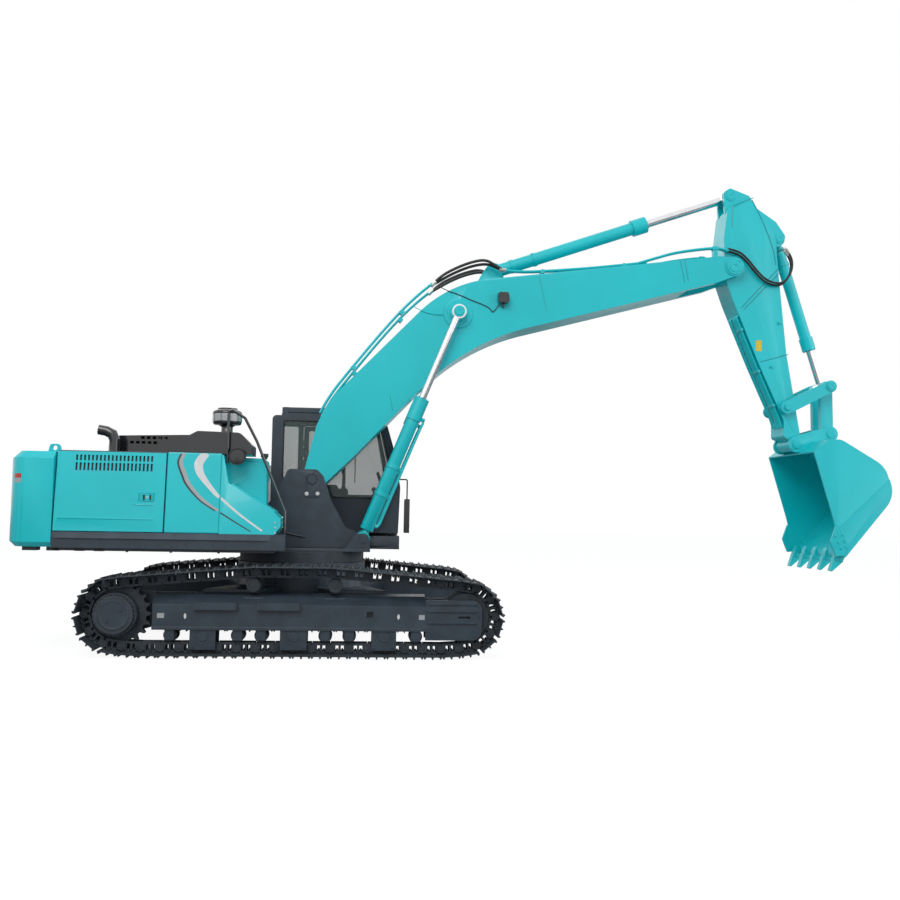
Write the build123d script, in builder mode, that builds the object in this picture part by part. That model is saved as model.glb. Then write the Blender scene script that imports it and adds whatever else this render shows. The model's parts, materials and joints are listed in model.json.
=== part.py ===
"""Crawler excavator with a backhoe front, parked with its boom half raised.

Millimetres. +X ahead to the bucket, +Y to the machine's left (cab side), +Z up from the ground.
Pieces are laid out about the swing axis and written about the middle of the machine's length.
The boom, arm and bucket are each laid out from their own pin.
"""

import os
from math import acos, atan2, cos, degrees, hypot, pi, radians, sin

from build123d import *

os.makedirs("parts", exist_ok=True)

# Clearances
SEAT_GAP = 0.5  # between faces of two bodies that turn or slide on each other
PIN_CLEARANCE = 0.3  # between a pin and its bore, on the radius
REST_GAP = 0.3  # between a piece and the seat that carries it

# Tracks and running gear
TRACK_GAUGE = 2600
SHOE_WIDTH = 600
SPROCKET_X = -2030
IDLER_X = 2020
TUMBLER_Z = 480
LINK_PITCH = 216
SPROCKET_TEETH = 21
RAIL_HEIGHT = 70  # from a link's pin to the rail that the rollers run on
SHOE_DEPTH = 95  # from a link's pin to the tip of a grouser
GROUSER_HEIGHT = 28
EDGE_GROUSER_HEIGHT = 23  # the grousers at a shoe's edges, short of its middle one
SHOE_THICKNESS = 15
RAIL_SPREAD = 75  # from the track's middle to each rail's middle
RAIL_WIDTH = 40
GROUND_END = 1738  # just past the last flat link's pin, so the next link starts clear of the ground
ROLLER_XS = (-1410, -1040, -640, -370, 10, 370, 650, 1060, 1430)
ROLLER_RADIUS = 80
CARRIER_XS = (-475, 475)
CARRIER_RADIUS = 85
CARRIER_Z = 830

# Track frames
FRAME_X = (-1610, 1540)
FRAME_Y = (1140, 1460)
FRAME_WALL = 35
FRAME_ROOM_Y = (FRAME_Y[0] + FRAME_WALL, FRAME_Y[1] - FRAME_WALL)
FRAME_BOTTOM = 330
FRAME_SHOULDER = 600
FRAME_TOP = 725
FORK_X = 2210  # front end of the idler's fork
FORK_Z = (210, 680)
HUB_PLATE = 50
HUB_RADIUS = 250
HUB_Y = 1480
HUB_COVER_RADIUS = 220
HUB_COVER_Y = 1530

# Carbody and swing bearing
CARBODY_RADIUS = 820
CARBODY_Z = (500, 1060)
CARBODY_PLATE = 40
BEARING_RADIUS = 800
BEARING_BORE = 660
BEARING_TOP = 1200
BEARING_SIDES = 64

# Upper structure
DECK_BOTTOM = BEARING_TOP + SEAT_GAP
DECK_TOP = 1240
SIDE_Y = 1490
SKIRT_TOP = 1420
PANEL_TOP = 2360
PANEL_LEAN = 90  # how far the side panels lean in at the top
PANEL_THICKNESS = 30
WALL = 12
COUNTERWEIGHT_X = -2770
TAIL_RADIUS = 3530
COUNTERWEIGHT_TOP = 2340
BAY_X = (-2765, -1515)
TANK_X = (-1510, -885)
TOOLBOX_FRONT = -180
LOCKER_X = (-1510, -560)
CAB_X = (-490, 1290)
CAB_Y = (560, 1490)
CAB_Z = (1420, 3020)
CAB_WALL = 45
GLASS = 8

# Boom brackets
BRACKET_Y = (340, 380)
LUG_Y = (500, 540)

# Front pins, as (x, z)
BOOM_FOOT = (120, 2110)
BOOM_CYLINDER_BASE = (780, 1360)
ARM_PIN_FROM_FOOT = (5610, 3010)
BOOM_ROD_FROM_FOOT = (1850, 2230)
ARM_BASE_FROM_FOOT = (2320, 2870)
ARM_ROD_FROM_ARM_PIN = (10, 1040)
BUCKET_BASE_FROM_ARM_PIN = (710, 470)
IDLER_FROM_ARM_PIN = (740, -1900)
BUCKET_PIN_FROM_ARM_PIN = (890, -2390)
TIP_JOINT_FROM_BUCKET_PIN = (470, 800)
LINK_PIN_FROM_BUCKET_PIN = (480, 150)

# Boom
BOOM_HALF_WIDTH = 325
BOOM_PLATE = 16
BOOM_FORK_GAP = 225
BOOM_FORK_DEPTH = 640
BOOM_CYLINDER_Y = 440
BOOM_EYE_HALF = 49

# Arm and bucket
ARM_HALF_WIDTH = 215
ARM_PLATE = 14
EAR_Y = (100, 145)
BUCKET_HALF_WIDTH = 730
BUCKET_PLATE = 25
BUCKET_EAR_Y = (ARM_HALF_WIDTH + 6, ARM_HALF_WIDTH + 46)
IDLER_LINK_Y = (BUCKET_EAR_Y[1] + 7, BUCKET_EAR_Y[1] + 47)
POWER_LINK_Y = (80, 160)
BUCKET_TEETH = 5

SIDES = {"right": -1, "left": 1}


def offset_point(start, step):
    """A pin's (x, z) from another pin and the step between them."""
    return (start[0] + step[0], start[1] + step[1])


ARM_PIN = offset_point(BOOM_FOOT, ARM_PIN_FROM_FOOT)
BOOM_ROD_PIN = offset_point(BOOM_FOOT, BOOM_ROD_FROM_FOOT)
ARM_CYLINDER_BASE = offset_point(BOOM_FOOT, ARM_BASE_FROM_FOOT)
ARM_ROD_PIN = offset_point(ARM_PIN, ARM_ROD_FROM_ARM_PIN)
BUCKET_CYLINDER_BASE = offset_point(ARM_PIN, BUCKET_BASE_FROM_ARM_PIN)
IDLER_PIN = offset_point(ARM_PIN, IDLER_FROM_ARM_PIN)
BUCKET_PIN = offset_point(ARM_PIN, BUCKET_PIN_FROM_ARM_PIN)
TIP_JOINT = offset_point(BUCKET_PIN, TIP_JOINT_FROM_BUCKET_PIN)
LINK_PIN = offset_point(BUCKET_PIN, LINK_PIN_FROM_BUCKET_PIN)
BUCKET_HEEL = 1085  # from the bucket pin to the back of the bucket

MIDDLE_X = (BUCKET_PIN[0] + BUCKET_HEEL - TAIL_RADIUS) / 2


def save(piece, node):
    """Label a finished piece, move it into the part's frame and write its file."""
    placed = piece.part.moved(Location((-MIDDLE_X, 0, 0)))
    placed.label = node
    export_step(placed, f"parts/{node}.step")


def span(side, inner, outer):
    """The two y values of a stretch on one side of the machine, in rising order."""
    return tuple(sorted((side * inner, side * outer)))


def outline_face(rows, plane, at=(0, 0)):
    """A closed face on a plane, from rows of (across, up, corner radius) about a point."""
    corners = [offset_point(at, row) for row in rows]
    with BuildSketch(plane) as face:
        with BuildLine():
            Polyline(*corners, close=True)
        make_face()
        for corner, row in zip(corners, rows):
            if row[2] > 0:
                fillet(face.vertices().sort_by_distance(corner)[0], row[2])
    return face.sketch


def inset_rows(rows, gap):
    """An outline's rows moved in by a gap, their corner radii following."""
    corners = [Vector(row[0], row[1]) for row in rows]
    before, after = corners[-1:] + corners[:-1], corners[1:] + corners[:1]
    area = sum(a.X * b.Y - b.X * a.Y for a, b in zip(corners, after))
    turn = 1 if area > 0 else -1
    moved = []
    for last, corner, following, row in zip(before, corners, after, rows):
        way_in, way_out = (corner - last).normalized(), (following - corner).normalized()
        normals = [Vector(-way.Y, way.X) * turn for way in (way_in, way_out)]
        step = (normals[0] + normals[1]) * (gap / (1 + normals[0].dot(normals[1])))
        outward_corner = turn * way_in.cross(way_out).Z > 0
        radius = row[2] - gap if outward_corner else row[2] + gap
        place = corner + step
        moved.append((place.X, place.Y, max(radius, 0) if row[2] else 0))
    return moved


def side_plate(rows, y_span, at=(0, 0), mode=Mode.ADD):
    """A plate with an (x, z) outline between two y values."""
    face = outline_face(rows, Plane.XZ.offset(-y_span[1]), at)
    extrude(face, amount=y_span[1] - y_span[0], mode=mode)


def plan_plate(rows, z_span, mode=Mode.ADD):
    """A plate with an (x, y) outline between two heights."""
    face = outline_face(rows, Plane.XY.offset(z_span[0]))
    extrude(face, amount=z_span[1] - z_span[0], mode=mode)


def end_plate(rows, x_span, mode=Mode.ADD):
    """A beam with a (y, z) section between two x values."""
    face = outline_face(rows, Plane.YZ.offset(x_span[0]))
    extrude(face, amount=x_span[1] - x_span[0], mode=mode)


def block(x_span, y_span, z_span, mode=Mode.ADD):
    """A box between pairs of x, y and z values."""
    spans = (x_span, y_span, z_span)
    with Locations(tuple(sum(pair) / 2 for pair in spans)):
        Box(*(pair[1] - pair[0] for pair in spans), mode=mode)


def cross_bar(pin, radius, y_span, mode=Mode.ADD):
    """A round bar, boss or bore along Y at a pin's (x, z)."""
    with Locations(Location((pin[0], sum(y_span) / 2, pin[1]), (90, 0, 0))):
        Cylinder(radius, y_span[1] - y_span[0], mode=mode)


def wheel_bar(pin, radius, y_span, sides):
    """A bar along Y with flat sides, for wheels that come many times over."""
    with BuildSketch(Plane.XZ.offset(-y_span[1])) as section:
        with Locations(pin):
            RegularPolygon(radius, sides)
    extrude(section.sketch, amount=y_span[1] - y_span[0])


def ring_plate(radius, bore, z_span, sides):
    """An upright ring about the swing axis with flat sides."""
    with BuildSketch(Plane.XY.offset(z_span[0])) as ring:
        RegularPolygon(radius, sides)
        RegularPolygon(bore, sides, mode=Mode.SUBTRACT)
    extrude(ring.sketch, amount=z_span[1] - z_span[0])


def round_bar(start, end, y, reach, radius, mode=Mode.ADD):
    """A round bar on the line between two pins, from reach[0] to reach[1] past the first."""
    way = Vector(end[0] - start[0], 0, end[1] - start[1]).normalized()
    origin = Vector(start[0], y, start[1]) + way * reach[0]
    with BuildSketch(Plane(origin=origin, z_dir=way)) as section:
        Circle(radius)
    extrude(section.sketch, amount=reach[1] - reach[0], mode=mode)


def pin_distance(start, end):
    """The distance between two pins."""
    return hypot(end[0] - start[0], end[1] - start[1])


def height_at(start, end, x):
    """The height at an x of the line through two rows."""
    return start[1] + (end[1] - start[1]) * (x - start[0]) / (end[0] - start[0])


def link_bar(start, end, y_span, half_widths, mode=Mode.ADD):
    """A flat bar with round ends between two pins, with its half width at each."""
    with BuildSketch(Plane.XZ.offset(-y_span[1])) as bar:
        with Locations(start):
            Circle(half_widths[0])
        with Locations(end):
            Circle(half_widths[1])
        make_hull()
    extrude(bar.sketch, amount=y_span[1] - y_span[0], mode=mode)


# ---------------------------------------------------------------- tracks


def tangent_angle(centre, radius, point, turn):
    """The angle on a circle where the line to an outside point leaves it."""
    reach = (point[0] - centre[0], point[1] - centre[1])
    return atan2(reach[1], reach[0]) + turn * acos(radius / hypot(*reach))


def wrap_points(centre, radius, entry, leave):
    """Points round a wheel, from the line out of entry to the line into leave."""
    first = tangent_angle(centre, radius, entry, 1)
    last = tangent_angle(centre, radius, leave, -1)
    while last < first:
        last += 2 * pi
    steps = round((last - first) / radians(WRAP_STEP))
    angles = [first + (last - first) * i / steps for i in range(steps + 1)]
    return [(centre[0] + radius * cos(a), centre[1] + radius * sin(a)) for a in angles]


WRAP_STEP = 4  # degrees between the path's points round a wheel
PITCH_RADIUS = LINK_PITCH / (2 * sin(2 * pi / SPROCKET_TEETH))
SPROCKET = (SPROCKET_X, TUMBLER_Z)
IDLER = (IDLER_X, TUMBLER_Z)
CARRIER_TOP = CARRIER_Z + CARRIER_RADIUS + RAIL_HEIGHT
TRACK_CORNERS = {
    "ground rear": (-GROUND_END, SHOE_DEPTH),
    "ground front": (GROUND_END, SHOE_DEPTH),
    "top front": (CARRIER_XS[1], CARRIER_TOP),
    "top rear": (CARRIER_XS[0], CARRIER_TOP),
}


def pin_path():
    """The closed line of the track's pins, from the ground's rear end and towards +X."""
    corner = TRACK_CORNERS
    front = wrap_points(IDLER, PITCH_RADIUS, corner["ground front"], corner["top front"])
    rear = wrap_points(SPROCKET, PITCH_RADIUS, corner["top rear"], corner["ground rear"])
    runs = [corner["ground rear"], corner["ground front"], *front]
    return runs + [corner["top front"], corner["top rear"], *rear]


def evenly_spaced(path, wanted_step):
    """Points at even steps round a closed path, as near to a wanted step as will close."""
    legs = list(zip(path, path[1:] + path[:1]))
    lengths = [pin_distance(*leg) for leg in legs]
    count = round(sum(lengths) / wanted_step)
    step = sum(lengths) / count
    points, leg, travelled = [], 0, 0
    for i in range(count):
        while travelled + lengths[leg] < i * step:
            travelled += lengths[leg]
            leg += 1
        share = (i * step - travelled) / lengths[leg]
        (x0, z0), (x1, z1) = legs[leg]
        points.append((x0 + share * (x1 - x0), z0 + share * (z1 - z0)))
    return points


def out_of_link(start, end, along, out):
    """A point of one link: along from its middle, and out from its pin line."""
    length = pin_distance(start, end)
    ux, uz = (end[0] - start[0]) / length, (end[1] - start[1]) / length
    x = (start[0] + end[0]) / 2 + along * ux + out * uz
    z = (start[1] + end[1]) / 2 + along * uz - out * ux
    return (x, z)


def beside_pins(pins, out):
    """Points beside each pin, out from the pin line."""
    corners = []
    for before, pin, after in zip(pins[-1:] + pins[:-1], pins, pins[1:] + pins[:1]):
        length = pin_distance(before, after)
        ux, uz = (after[0] - before[0]) / length, (after[1] - before[1]) / length
        corners.append((pin[0] + out * uz, pin[1] - out * ux))
    return corners


# One shoe from its leading to its trailing edge: along the link, height over the plate
SHOE_ROWS = [
    (-103, 0),
    (-99, EDGE_GROUSER_HEIGHT),
    (-84, EDGE_GROUSER_HEIGHT),
    (-76, 0),
    (-11, 0),
    (-6, GROUSER_HEIGHT),
    (6, GROUSER_HEIGHT),
    (11, 0),
    (76, 0),
    (88, EDGE_GROUSER_HEIGHT),
    (103, 0),
]
PLATE_OUT = SHOE_DEPTH - GROUSER_HEIGHT
LINK_PINS = evenly_spaced(pin_path(), LINK_PITCH)


def closed_face(corners, y):
    """A face from plain (x, z) corners on the plane at y."""
    with BuildSketch(Plane.XZ.offset(-y)) as face:
        with BuildLine():
            Polyline(*corners, close=True)
        make_face()
    return face.sketch


def track_loop(side):
    """The closed chain of shoes on its two rails."""
    middle = side * TRACK_GAUGE / 2
    links = list(zip(LINK_PINS, LINK_PINS[1:] + LINK_PINS[:1]))
    shoes = [out_of_link(*link, s, PLATE_OUT + h) for link in links for s, h in SHOE_ROWS]
    plate_inside = beside_pins(LINK_PINS, PLATE_OUT - SHOE_THICKNESS)
    rail_inside = beside_pins(LINK_PINS, -RAIL_HEIGHT)
    with BuildPart() as track:
        outer = middle + SHOE_WIDTH / 2
        extrude(closed_face(shoes, outer), amount=SHOE_WIDTH)
        extrude(closed_face(plate_inside, outer), amount=SHOE_WIDTH, mode=Mode.SUBTRACT)
        for rail in (-RAIL_SPREAD, RAIL_SPREAD):
            edge = middle + rail + RAIL_WIDTH / 2
            ring = closed_face(plate_inside, edge) - closed_face(rail_inside, edge)
            extrude(ring, amount=RAIL_WIDTH)
    return track


for name, side in SIDES.items():
    save(track_loop(side), f"track_{name}")

# ---------------------------------------------------------------- wheels and rollers

SPROCKET_HALF = 35
CORNER_CUT = 6  # how far the straight links dip where the track bends over a carrier roller
BUSH_RADIUS = 32
TOOTH_RISE = 22
IDLER_RADIUS = PITCH_RADIUS * cos(LINK_PITCH / PITCH_RADIUS / 2) - RAIL_HEIGHT - REST_GAP
IDLER_FLANGE = 30
IDLER_SIDES = 48
IDLER_SHAFT = 90
ROLLER_SIDES = 20
WHEEL_HALF = 95  # half the width of an idler's or a roller's tread
ROLLER_AXIS_Z = SHOE_DEPTH + RAIL_HEIGHT + ROLLER_RADIUS + REST_GAP
ROLLER_SHAFT = 35
CARRIER_SHAFT = 40
CARRIER_END = 1400


def toothed_ring(y):
    """The sprocket's flat outline: a disc with teeth that stand between the bushes."""
    bush = LINK_PINS[-3]
    bush_angle = degrees(atan2(bush[1] - TUMBLER_Z, bush[0] - SPROCKET_X))
    step = 360 / SPROCKET_TEETH
    root = PITCH_RADIUS - BUSH_RADIUS
    tip = PITCH_RADIUS + TOOTH_RISE
    with BuildSketch(Plane.XZ.offset(-y)) as ring:
        with Locations(SPROCKET):
            RegularPolygon(root, 2 * SPROCKET_TEETH)
        for i in range(SPROCKET_TEETH):
            with Locations(Location((*SPROCKET, 0), (0, 0, bush_angle + (i + 0.5) * step))):
                with BuildLine(mode=Mode.PRIVATE) as tooth:
                    Polyline((root - 10, -34), (tip, -9), (tip, 9), (root - 10, 34), close=True)
                add(make_face(tooth.edges(), mode=Mode.PRIVATE))
    return ring.sketch


for name, side in SIDES.items():
    middle = side * TRACK_GAUGE / 2
    with BuildPart() as sprocket:
        extrude(toothed_ring(middle + SPROCKET_HALF), amount=2 * SPROCKET_HALF)
        cross_bar(SPROCKET, HUB_RADIUS, span(side, FRAME_Y[0] + HUB_PLATE + REST_GAP, HUB_Y))
        cross_bar(SPROCKET, HUB_COVER_RADIUS, span(side, HUB_Y, HUB_COVER_Y))
    save(sprocket, f"sprocket_{name}")

    with BuildPart() as idler:
        tread = (middle - WHEEL_HALF, middle + WHEEL_HALF)
        between_walls = span(side, FRAME_ROOM_Y[0] + REST_GAP, FRAME_ROOM_Y[1] - REST_GAP)
        wheel_bar(IDLER, IDLER_RADIUS, tread, IDLER_SIDES)
        wheel_bar(IDLER, IDLER_RADIUS + IDLER_FLANGE, (middle - 40, middle + 40), IDLER_SIDES)
        cross_bar(IDLER, IDLER_SHAFT, between_walls)
    save(idler, f"idler_{name}")

    with BuildPart() as rollers:
        for x in ROLLER_XS:
            wheel_bar((x, ROLLER_AXIS_Z), ROLLER_RADIUS, tread, ROLLER_SIDES)
            wheel_bar((x, ROLLER_AXIS_Z), ROLLER_SHAFT, between_walls, ROLLER_SIDES // 2)
        for x in CARRIER_XS:
            carrier = (x, CARRIER_Z - CORNER_CUT)
            wheel_bar(carrier, CARRIER_RADIUS, tread, ROLLER_SIDES)
            shaft = span(side, FRAME_ROOM_Y[0] + REST_GAP, CARRIER_END)
            wheel_bar(carrier, CARRIER_SHAFT, shaft, ROLLER_SIDES // 2)
    save(rollers, f"rollers_{name}")

# ---------------------------------------------------------------- track frames

ROLLER_CEILING = ROLLER_AXIS_Z + ROLLER_RADIUS + 25
GUARDS = ((-1180, -885), (-150, 160), (910, 1200))
GUARD_BOTTOM = 85
FORK_NOSE = 120
STEPS = ((-1140, -650), (-420, 75))  # where each step plate on the outer wall begins and ends
STEP_Z = (545, 632)
STEP_Y = 1520
LEDGE_Z = (312, 345)
LEDGE_DEPTH = 18
CARRIER_SLOT = (115, (670, 716))  # half length, and heights of the opening below a carrier roller
SPRING_HOLE = ((852, 923), (467, 536))
FORK_RIBS = (420, 555, 640)
FORK_SLOT = ((1930, 2070), (468, 492))

for name, side in SIDES.items():
    inner, outer = FRAME_Y
    with BuildPart() as track_frame:
        # y, z, corner radius
        end_plate(
            [
                (side * inner, FRAME_BOTTOM, 0),
                (side * (inner + FRAME_WALL), FRAME_BOTTOM, 0),
                (side * (inner + FRAME_WALL), ROLLER_CEILING, 0),
                (side * (outer - FRAME_WALL), ROLLER_CEILING, 0),
                (side * (outer - FRAME_WALL), FRAME_BOTTOM, 0),
                (side * outer, FRAME_BOTTOM, 0),
                (side * outer, FRAME_SHOULDER, 0),
                (side * (outer - 120), FRAME_TOP - 15, 0),
                (side * inner, FRAME_TOP, 0),
            ],
            FRAME_X,
        )
        for wall in (span(side, inner, inner + FRAME_WALL), span(side, outer - FRAME_WALL, outer)):
            for x in ROLLER_XS:
                block((x - 55, x + 55), wall, (ROLLER_AXIS_Z - 50, ROLLER_CEILING))
            for guard in GUARDS:
                block(guard, wall, (GUARD_BOTTOM, ROLLER_CEILING))
            fork = [
                (FRAME_X[1], FORK_Z[0], 0),
                (FORK_X, FORK_Z[0], FORK_NOSE),
                (FORK_X, FORK_Z[1], FORK_NOSE),
                (FRAME_X[1], FORK_Z[1], 0),
            ]
            side_plate(fork, wall)
        outer_wall = span(side, outer - FRAME_WALL - 1, outer + 1)
        for step in STEPS:
            block(step, span(side, outer - 5, STEP_Y), STEP_Z)
        block(FRAME_X, span(side, outer - 5, outer + LEDGE_DEPTH), LEDGE_Z)
        for z in FORK_RIBS:
            rib = (FRAME_X[1] + 20, FORK_X - FORK_NOSE + 60)
            block(rib, span(side, outer - 5, outer + 20), (z - 13, z + 13))
        block(FORK_SLOT[0], outer_wall, FORK_SLOT[1], mode=Mode.SUBTRACT)
        block(SPRING_HOLE[0], span(side, outer - 60, outer + 1), SPRING_HOLE[1], mode=Mode.SUBTRACT)
        for x in CARRIER_XS:
            slot = (x - CARRIER_SLOT[0], x + CARRIER_SLOT[0])
            block(slot, span(side, outer - 90, outer + 1), CARRIER_SLOT[1], mode=Mode.SUBTRACT)
        hub_span = span(side, inner, inner + HUB_PLATE)
        cross_bar(SPROCKET, HUB_RADIUS + 25, hub_span)
        side_plate(
            [
                (SPROCKET_X, TUMBLER_Z - HUB_RADIUS - 20, 0),
                (FRAME_X[0] + 5, FRAME_BOTTOM, 0),
                (FRAME_X[0] + 5, FRAME_TOP, 0),
                (SPROCKET_X, TUMBLER_Z + HUB_RADIUS + 20, 0),
            ],
            hub_span,
        )
        for x in CARRIER_XS:
            block((x - 60, x + 60), span(side, inner, inner + FRAME_WALL), (700, CARRIER_Z + 50))
    save(track_frame, f"track_frame_{name}")

# ---------------------------------------------------------------- carbody and bearing

# One leg's plan from the middle out to the track frame: x, y, corner radius
LEG_ROWS = [(100, 500, 0), (430, FRAME_Y[0], 0), (1100, FRAME_Y[0], 0), (780, 250, 0)]

with BuildPart() as carbody:
    with BuildSketch(Plane.XY.offset(CARBODY_Z[0])):
        Circle(CARBODY_RADIUS)
    extrude(amount=CARBODY_Z[1] - CARBODY_Z[0])
    for x_sign in (-1, 1):
        for y_sign in (-1, 1):
            plan_plate([(x_sign * x, y_sign * y, r) for x, y, r in LEG_ROWS], (CARBODY_Z[0], 760))
    with BuildSketch(Plane.XY.offset(CARBODY_Z[0] + CARBODY_PLATE)):
        Circle(CARBODY_RADIUS - 220)
    extrude(amount=CARBODY_Z[1] - CARBODY_Z[0], mode=Mode.SUBTRACT)
save(carbody, "carbody")

with BuildPart() as swing_bearing:
    ring_plate(BEARING_RADIUS, BEARING_BORE, (CARBODY_Z[1], BEARING_TOP), BEARING_SIDES)
save(swing_bearing, "swing_bearing")

# ---------------------------------------------------------------- main frame

RAIL_TOP = 1460  # the main frame's rails, which the engine and hydraulic tank stand on

# Boom bracket: x, z, corner radius
BRACKET_ROWS = [
    (-2740, DECK_TOP - 5, 0),
    (-2740, RAIL_TOP, 0),
    (-760, RAIL_TOP, 0),
    (-330, 1900, 100),
    (-190, 2240, 60),
    (180, 2240, 60),
    (260, 2160, 0),
    (370, 1840, 200),
    (560, 1500, 80),
    (700, 1440, 0),
    (800, 1450, 40),
    (870, 1390, 40),
    (850, DECK_TOP - 5, 0),
]
# Outer lug of a boom cylinder's base: x, z, corner radius
LUG_ROWS = [(560, DECK_TOP - 5, 0), (690, 1430, 60), (860, 1430, 70), (880, DECK_TOP - 5, 0)]
BOOM_FOOT_PIN = 60
# Keeper plate that holds the boom's foot pin: x, z, corner radius
KEEPER_ROWS = [(45, 1885, 15), (45, 2195, 80), (205, 2195, 80), (215, 1885, 15)]
BOOM_CYLINDER_PIN = 50

with BuildPart() as main_frame:
    deck = [
        (COUNTERWEIGHT_X, -1400, 0),
        (-260, -1400, 0),
        (-260, -600, 0),
        (880, -600, 0),
        (880, 540, 0),
        (1290, 540, 0),
        (1290, 1430, 0),
        (COUNTERWEIGHT_X, 1430, 0),
    ]
    plan_plate(deck, (DECK_BOTTOM, DECK_TOP))
    for side in SIDES.values():
        side_plate(BRACKET_ROWS, span(side, *BRACKET_Y))
        side_plate(LUG_ROWS, span(side, *LUG_Y))
        cross_bar(BOOM_CYLINDER_BASE, BOOM_CYLINDER_PIN, span(side, BRACKET_Y[0], LUG_Y[1] + 10))
        cross_bar(BOOM_FOOT, 130, span(side, *BRACKET_Y))
        side_plate(KEEPER_ROWS, span(side, BRACKET_Y[1] - 5, BRACKET_Y[1] + 12))
    cross_bar(BOOM_FOOT, BOOM_FOOT_PIN, (-BRACKET_Y[1] - 15, BRACKET_Y[1] + 15))
    inside = (-BRACKET_Y[0], BRACKET_Y[0])
    block((-520, -480), inside, (DECK_TOP - 5, 1640))
    block((-1560, -1520), inside, (DECK_TOP - 5, 1420))
    block((COUNTERWEIGHT_X + 5, TOOLBOX_FRONT + 60), (-SIDE_Y, -1390), (DECK_TOP - 5, SKIRT_TOP))
    block((COUNTERWEIGHT_X + 5, CAB_X[1]), (1390, SIDE_Y), (DECK_TOP - 5, SKIRT_TOP))
    block((CAB_X[0], CAB_X[1]), (CAB_Y[0], 1400), (DECK_TOP - 5, 1380))
save(main_frame, "main_frame")

# ---------------------------------------------------------------- rear body


def lean_at(z):
    """How far out a side panel's face is at a height."""
    return SIDE_Y - PANEL_LEAN * (z - SKIRT_TOP) / (PANEL_TOP - SKIRT_TOP)


def lean_rows(side, inset, inner, z_span):
    """A side body's (y, z) section, its outer face leaning in like the panels."""
    bottom, top = z_span
    return [
        (side * inner, bottom, 0),
        (side * (lean_at(bottom) - inset), bottom, 0),
        (side * (lean_at(top) - inset), top, 0),
        (side * inner, top, 0),
    ]


def trim_to_lean(x_span, side):
    """Cut away whatever stands outside the leaning side face."""
    rows = [
        (side * lean_at(DECK_TOP), DECK_TOP, 0),
        (side * lean_at(PANEL_TOP + 100), PANEL_TOP + 100, 0),
        (side * (SIDE_Y + 200), PANEL_TOP + 100, 0),
        (side * (SIDE_Y + 200), DECK_TOP, 0),
    ]
    end_plate(rows, x_span, mode=Mode.SUBTRACT)


# Lifting eyes: x, z, corner radius
EYE_ROWS = [(-2960, 2320, 0), (-2930, 2445, 35), (-2820, 2445, 35), (-2790, 2320, 0)]
EYE = (-2875, 2398)
EYE_BORE = 28
EYE_Y = (1080, 1120)

with BuildPart() as counterweight:
    with BuildSketch(Plane.XY.offset(DECK_TOP)) as plan:
        Circle(TAIL_RADIUS)
        with Locations((-TAIL_RADIUS, 0)):
            Rectangle(-2 * COUNTERWEIGHT_X - TAIL_RADIUS, 2 * SIDE_Y, mode=Mode.INTERSECT)
        with Locations((COUNTERWEIGHT_X, 0)):
            Rectangle(2 * TAIL_RADIUS, 4 * SIDE_Y, align=(Align.MIN, Align.CENTER), mode=Mode.SUBTRACT)
        fillet(plan.vertices().group_by(Axis.X)[0], 180)
    extrude(amount=COUNTERWEIGHT_TOP - DECK_TOP)
    top_edges = counterweight.faces().sort_by(Axis.Z)[-1].edges().sort_by(Axis.X)[:-1]
    chamfer(top_edges, 80)
    bottom_edges = counterweight.faces().sort_by(Axis.Z)[0].edges().sort_by(Axis.X)[:-1]
    chamfer(bottom_edges, 55)
    recess_z = (DECK_TOP + 120, COUNTERWEIGHT_TOP - 120)
    block((COUNTERWEIGHT_X - 330, COUNTERWEIGHT_X + 10), (-1150, 1150), recess_z, mode=Mode.SUBTRACT)
    for side in SIDES.values():
        side_plate(EYE_ROWS, span(side, *EYE_Y))
        cross_bar(EYE, EYE_BORE, span(side, *EYE_Y), mode=Mode.SUBTRACT)
save(counterweight, "counterweight")

# Housing round the engine: hollow, open at both sides behind the doors and above for the hood
HOOD_OPENING_X = (-2330, -1560)
HOOD_Y = (-740, 940)
DOOR_SEAT = PANEL_THICKNESS + REST_GAP
with BuildPart() as engine_bay:
    half = lean_rows(-1, DOOR_SEAT, 0, (SKIRT_TOP, PANEL_TOP))
    section = [half[1], (-half[1][0], half[1][1], 0), (-half[2][0], half[2][1], 0), half[2]]
    end_plate(section, BAY_X)
    bay_room = (BAY_X[0] + WALL, BAY_X[1] - WALL)
    block(bay_room, (-2000, 2000), (DECK_TOP, PANEL_TOP - WALL), mode=Mode.SUBTRACT)
    opening_y = (HOOD_Y[0] + 30, HOOD_Y[1] - 30)
    block(HOOD_OPENING_X, opening_y, (PANEL_TOP - 100, PANEL_TOP + 100), mode=Mode.SUBTRACT)
    rail_way = (-BRACKET_Y[1] - REST_GAP, BRACKET_Y[1] + REST_GAP)
    front_wall = (BAY_X[1] - 50, BAY_X[1] + 50)
    block(front_wall, rail_way, (SKIRT_TOP - 50, RAIL_TOP + REST_GAP), mode=Mode.SUBTRACT)
save(engine_bay, "engine_bay")

ENGINE_X, ENGINE_Y, ENGINE_TOP = (-2450, -1750), (-420, 480), 2100
with BuildPart() as engine:
    block(ENGINE_X, ENGINE_Y, (RAIL_TOP, ENGINE_TOP))
save(engine, "engine_block")

DOOR_X = (BAY_X[0] + 10, BAY_X[1] - 8)
DOOR_Z = (SKIRT_TOP + 8, PANEL_TOP - 12)
LOUVRE_X = (-2535, -1685)  # middles of the first and last louvre in a row
LOUVRES = 20
LOUVRE_WIDTH = 22
LOUVRE_ROWS = ((2242, 2308), (2128, 2218))
LATCH = ((-1815, -1632), (1775, 1875))
LATCH_DEPTH = 14
RIDGE = ((-2707, -1644), 1575)
# The pressed ridge's section: up, out from the panel
RIDGE_ROWS = ((-12, -5), (-5, 7), (5, 7), (12, -5))

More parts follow.
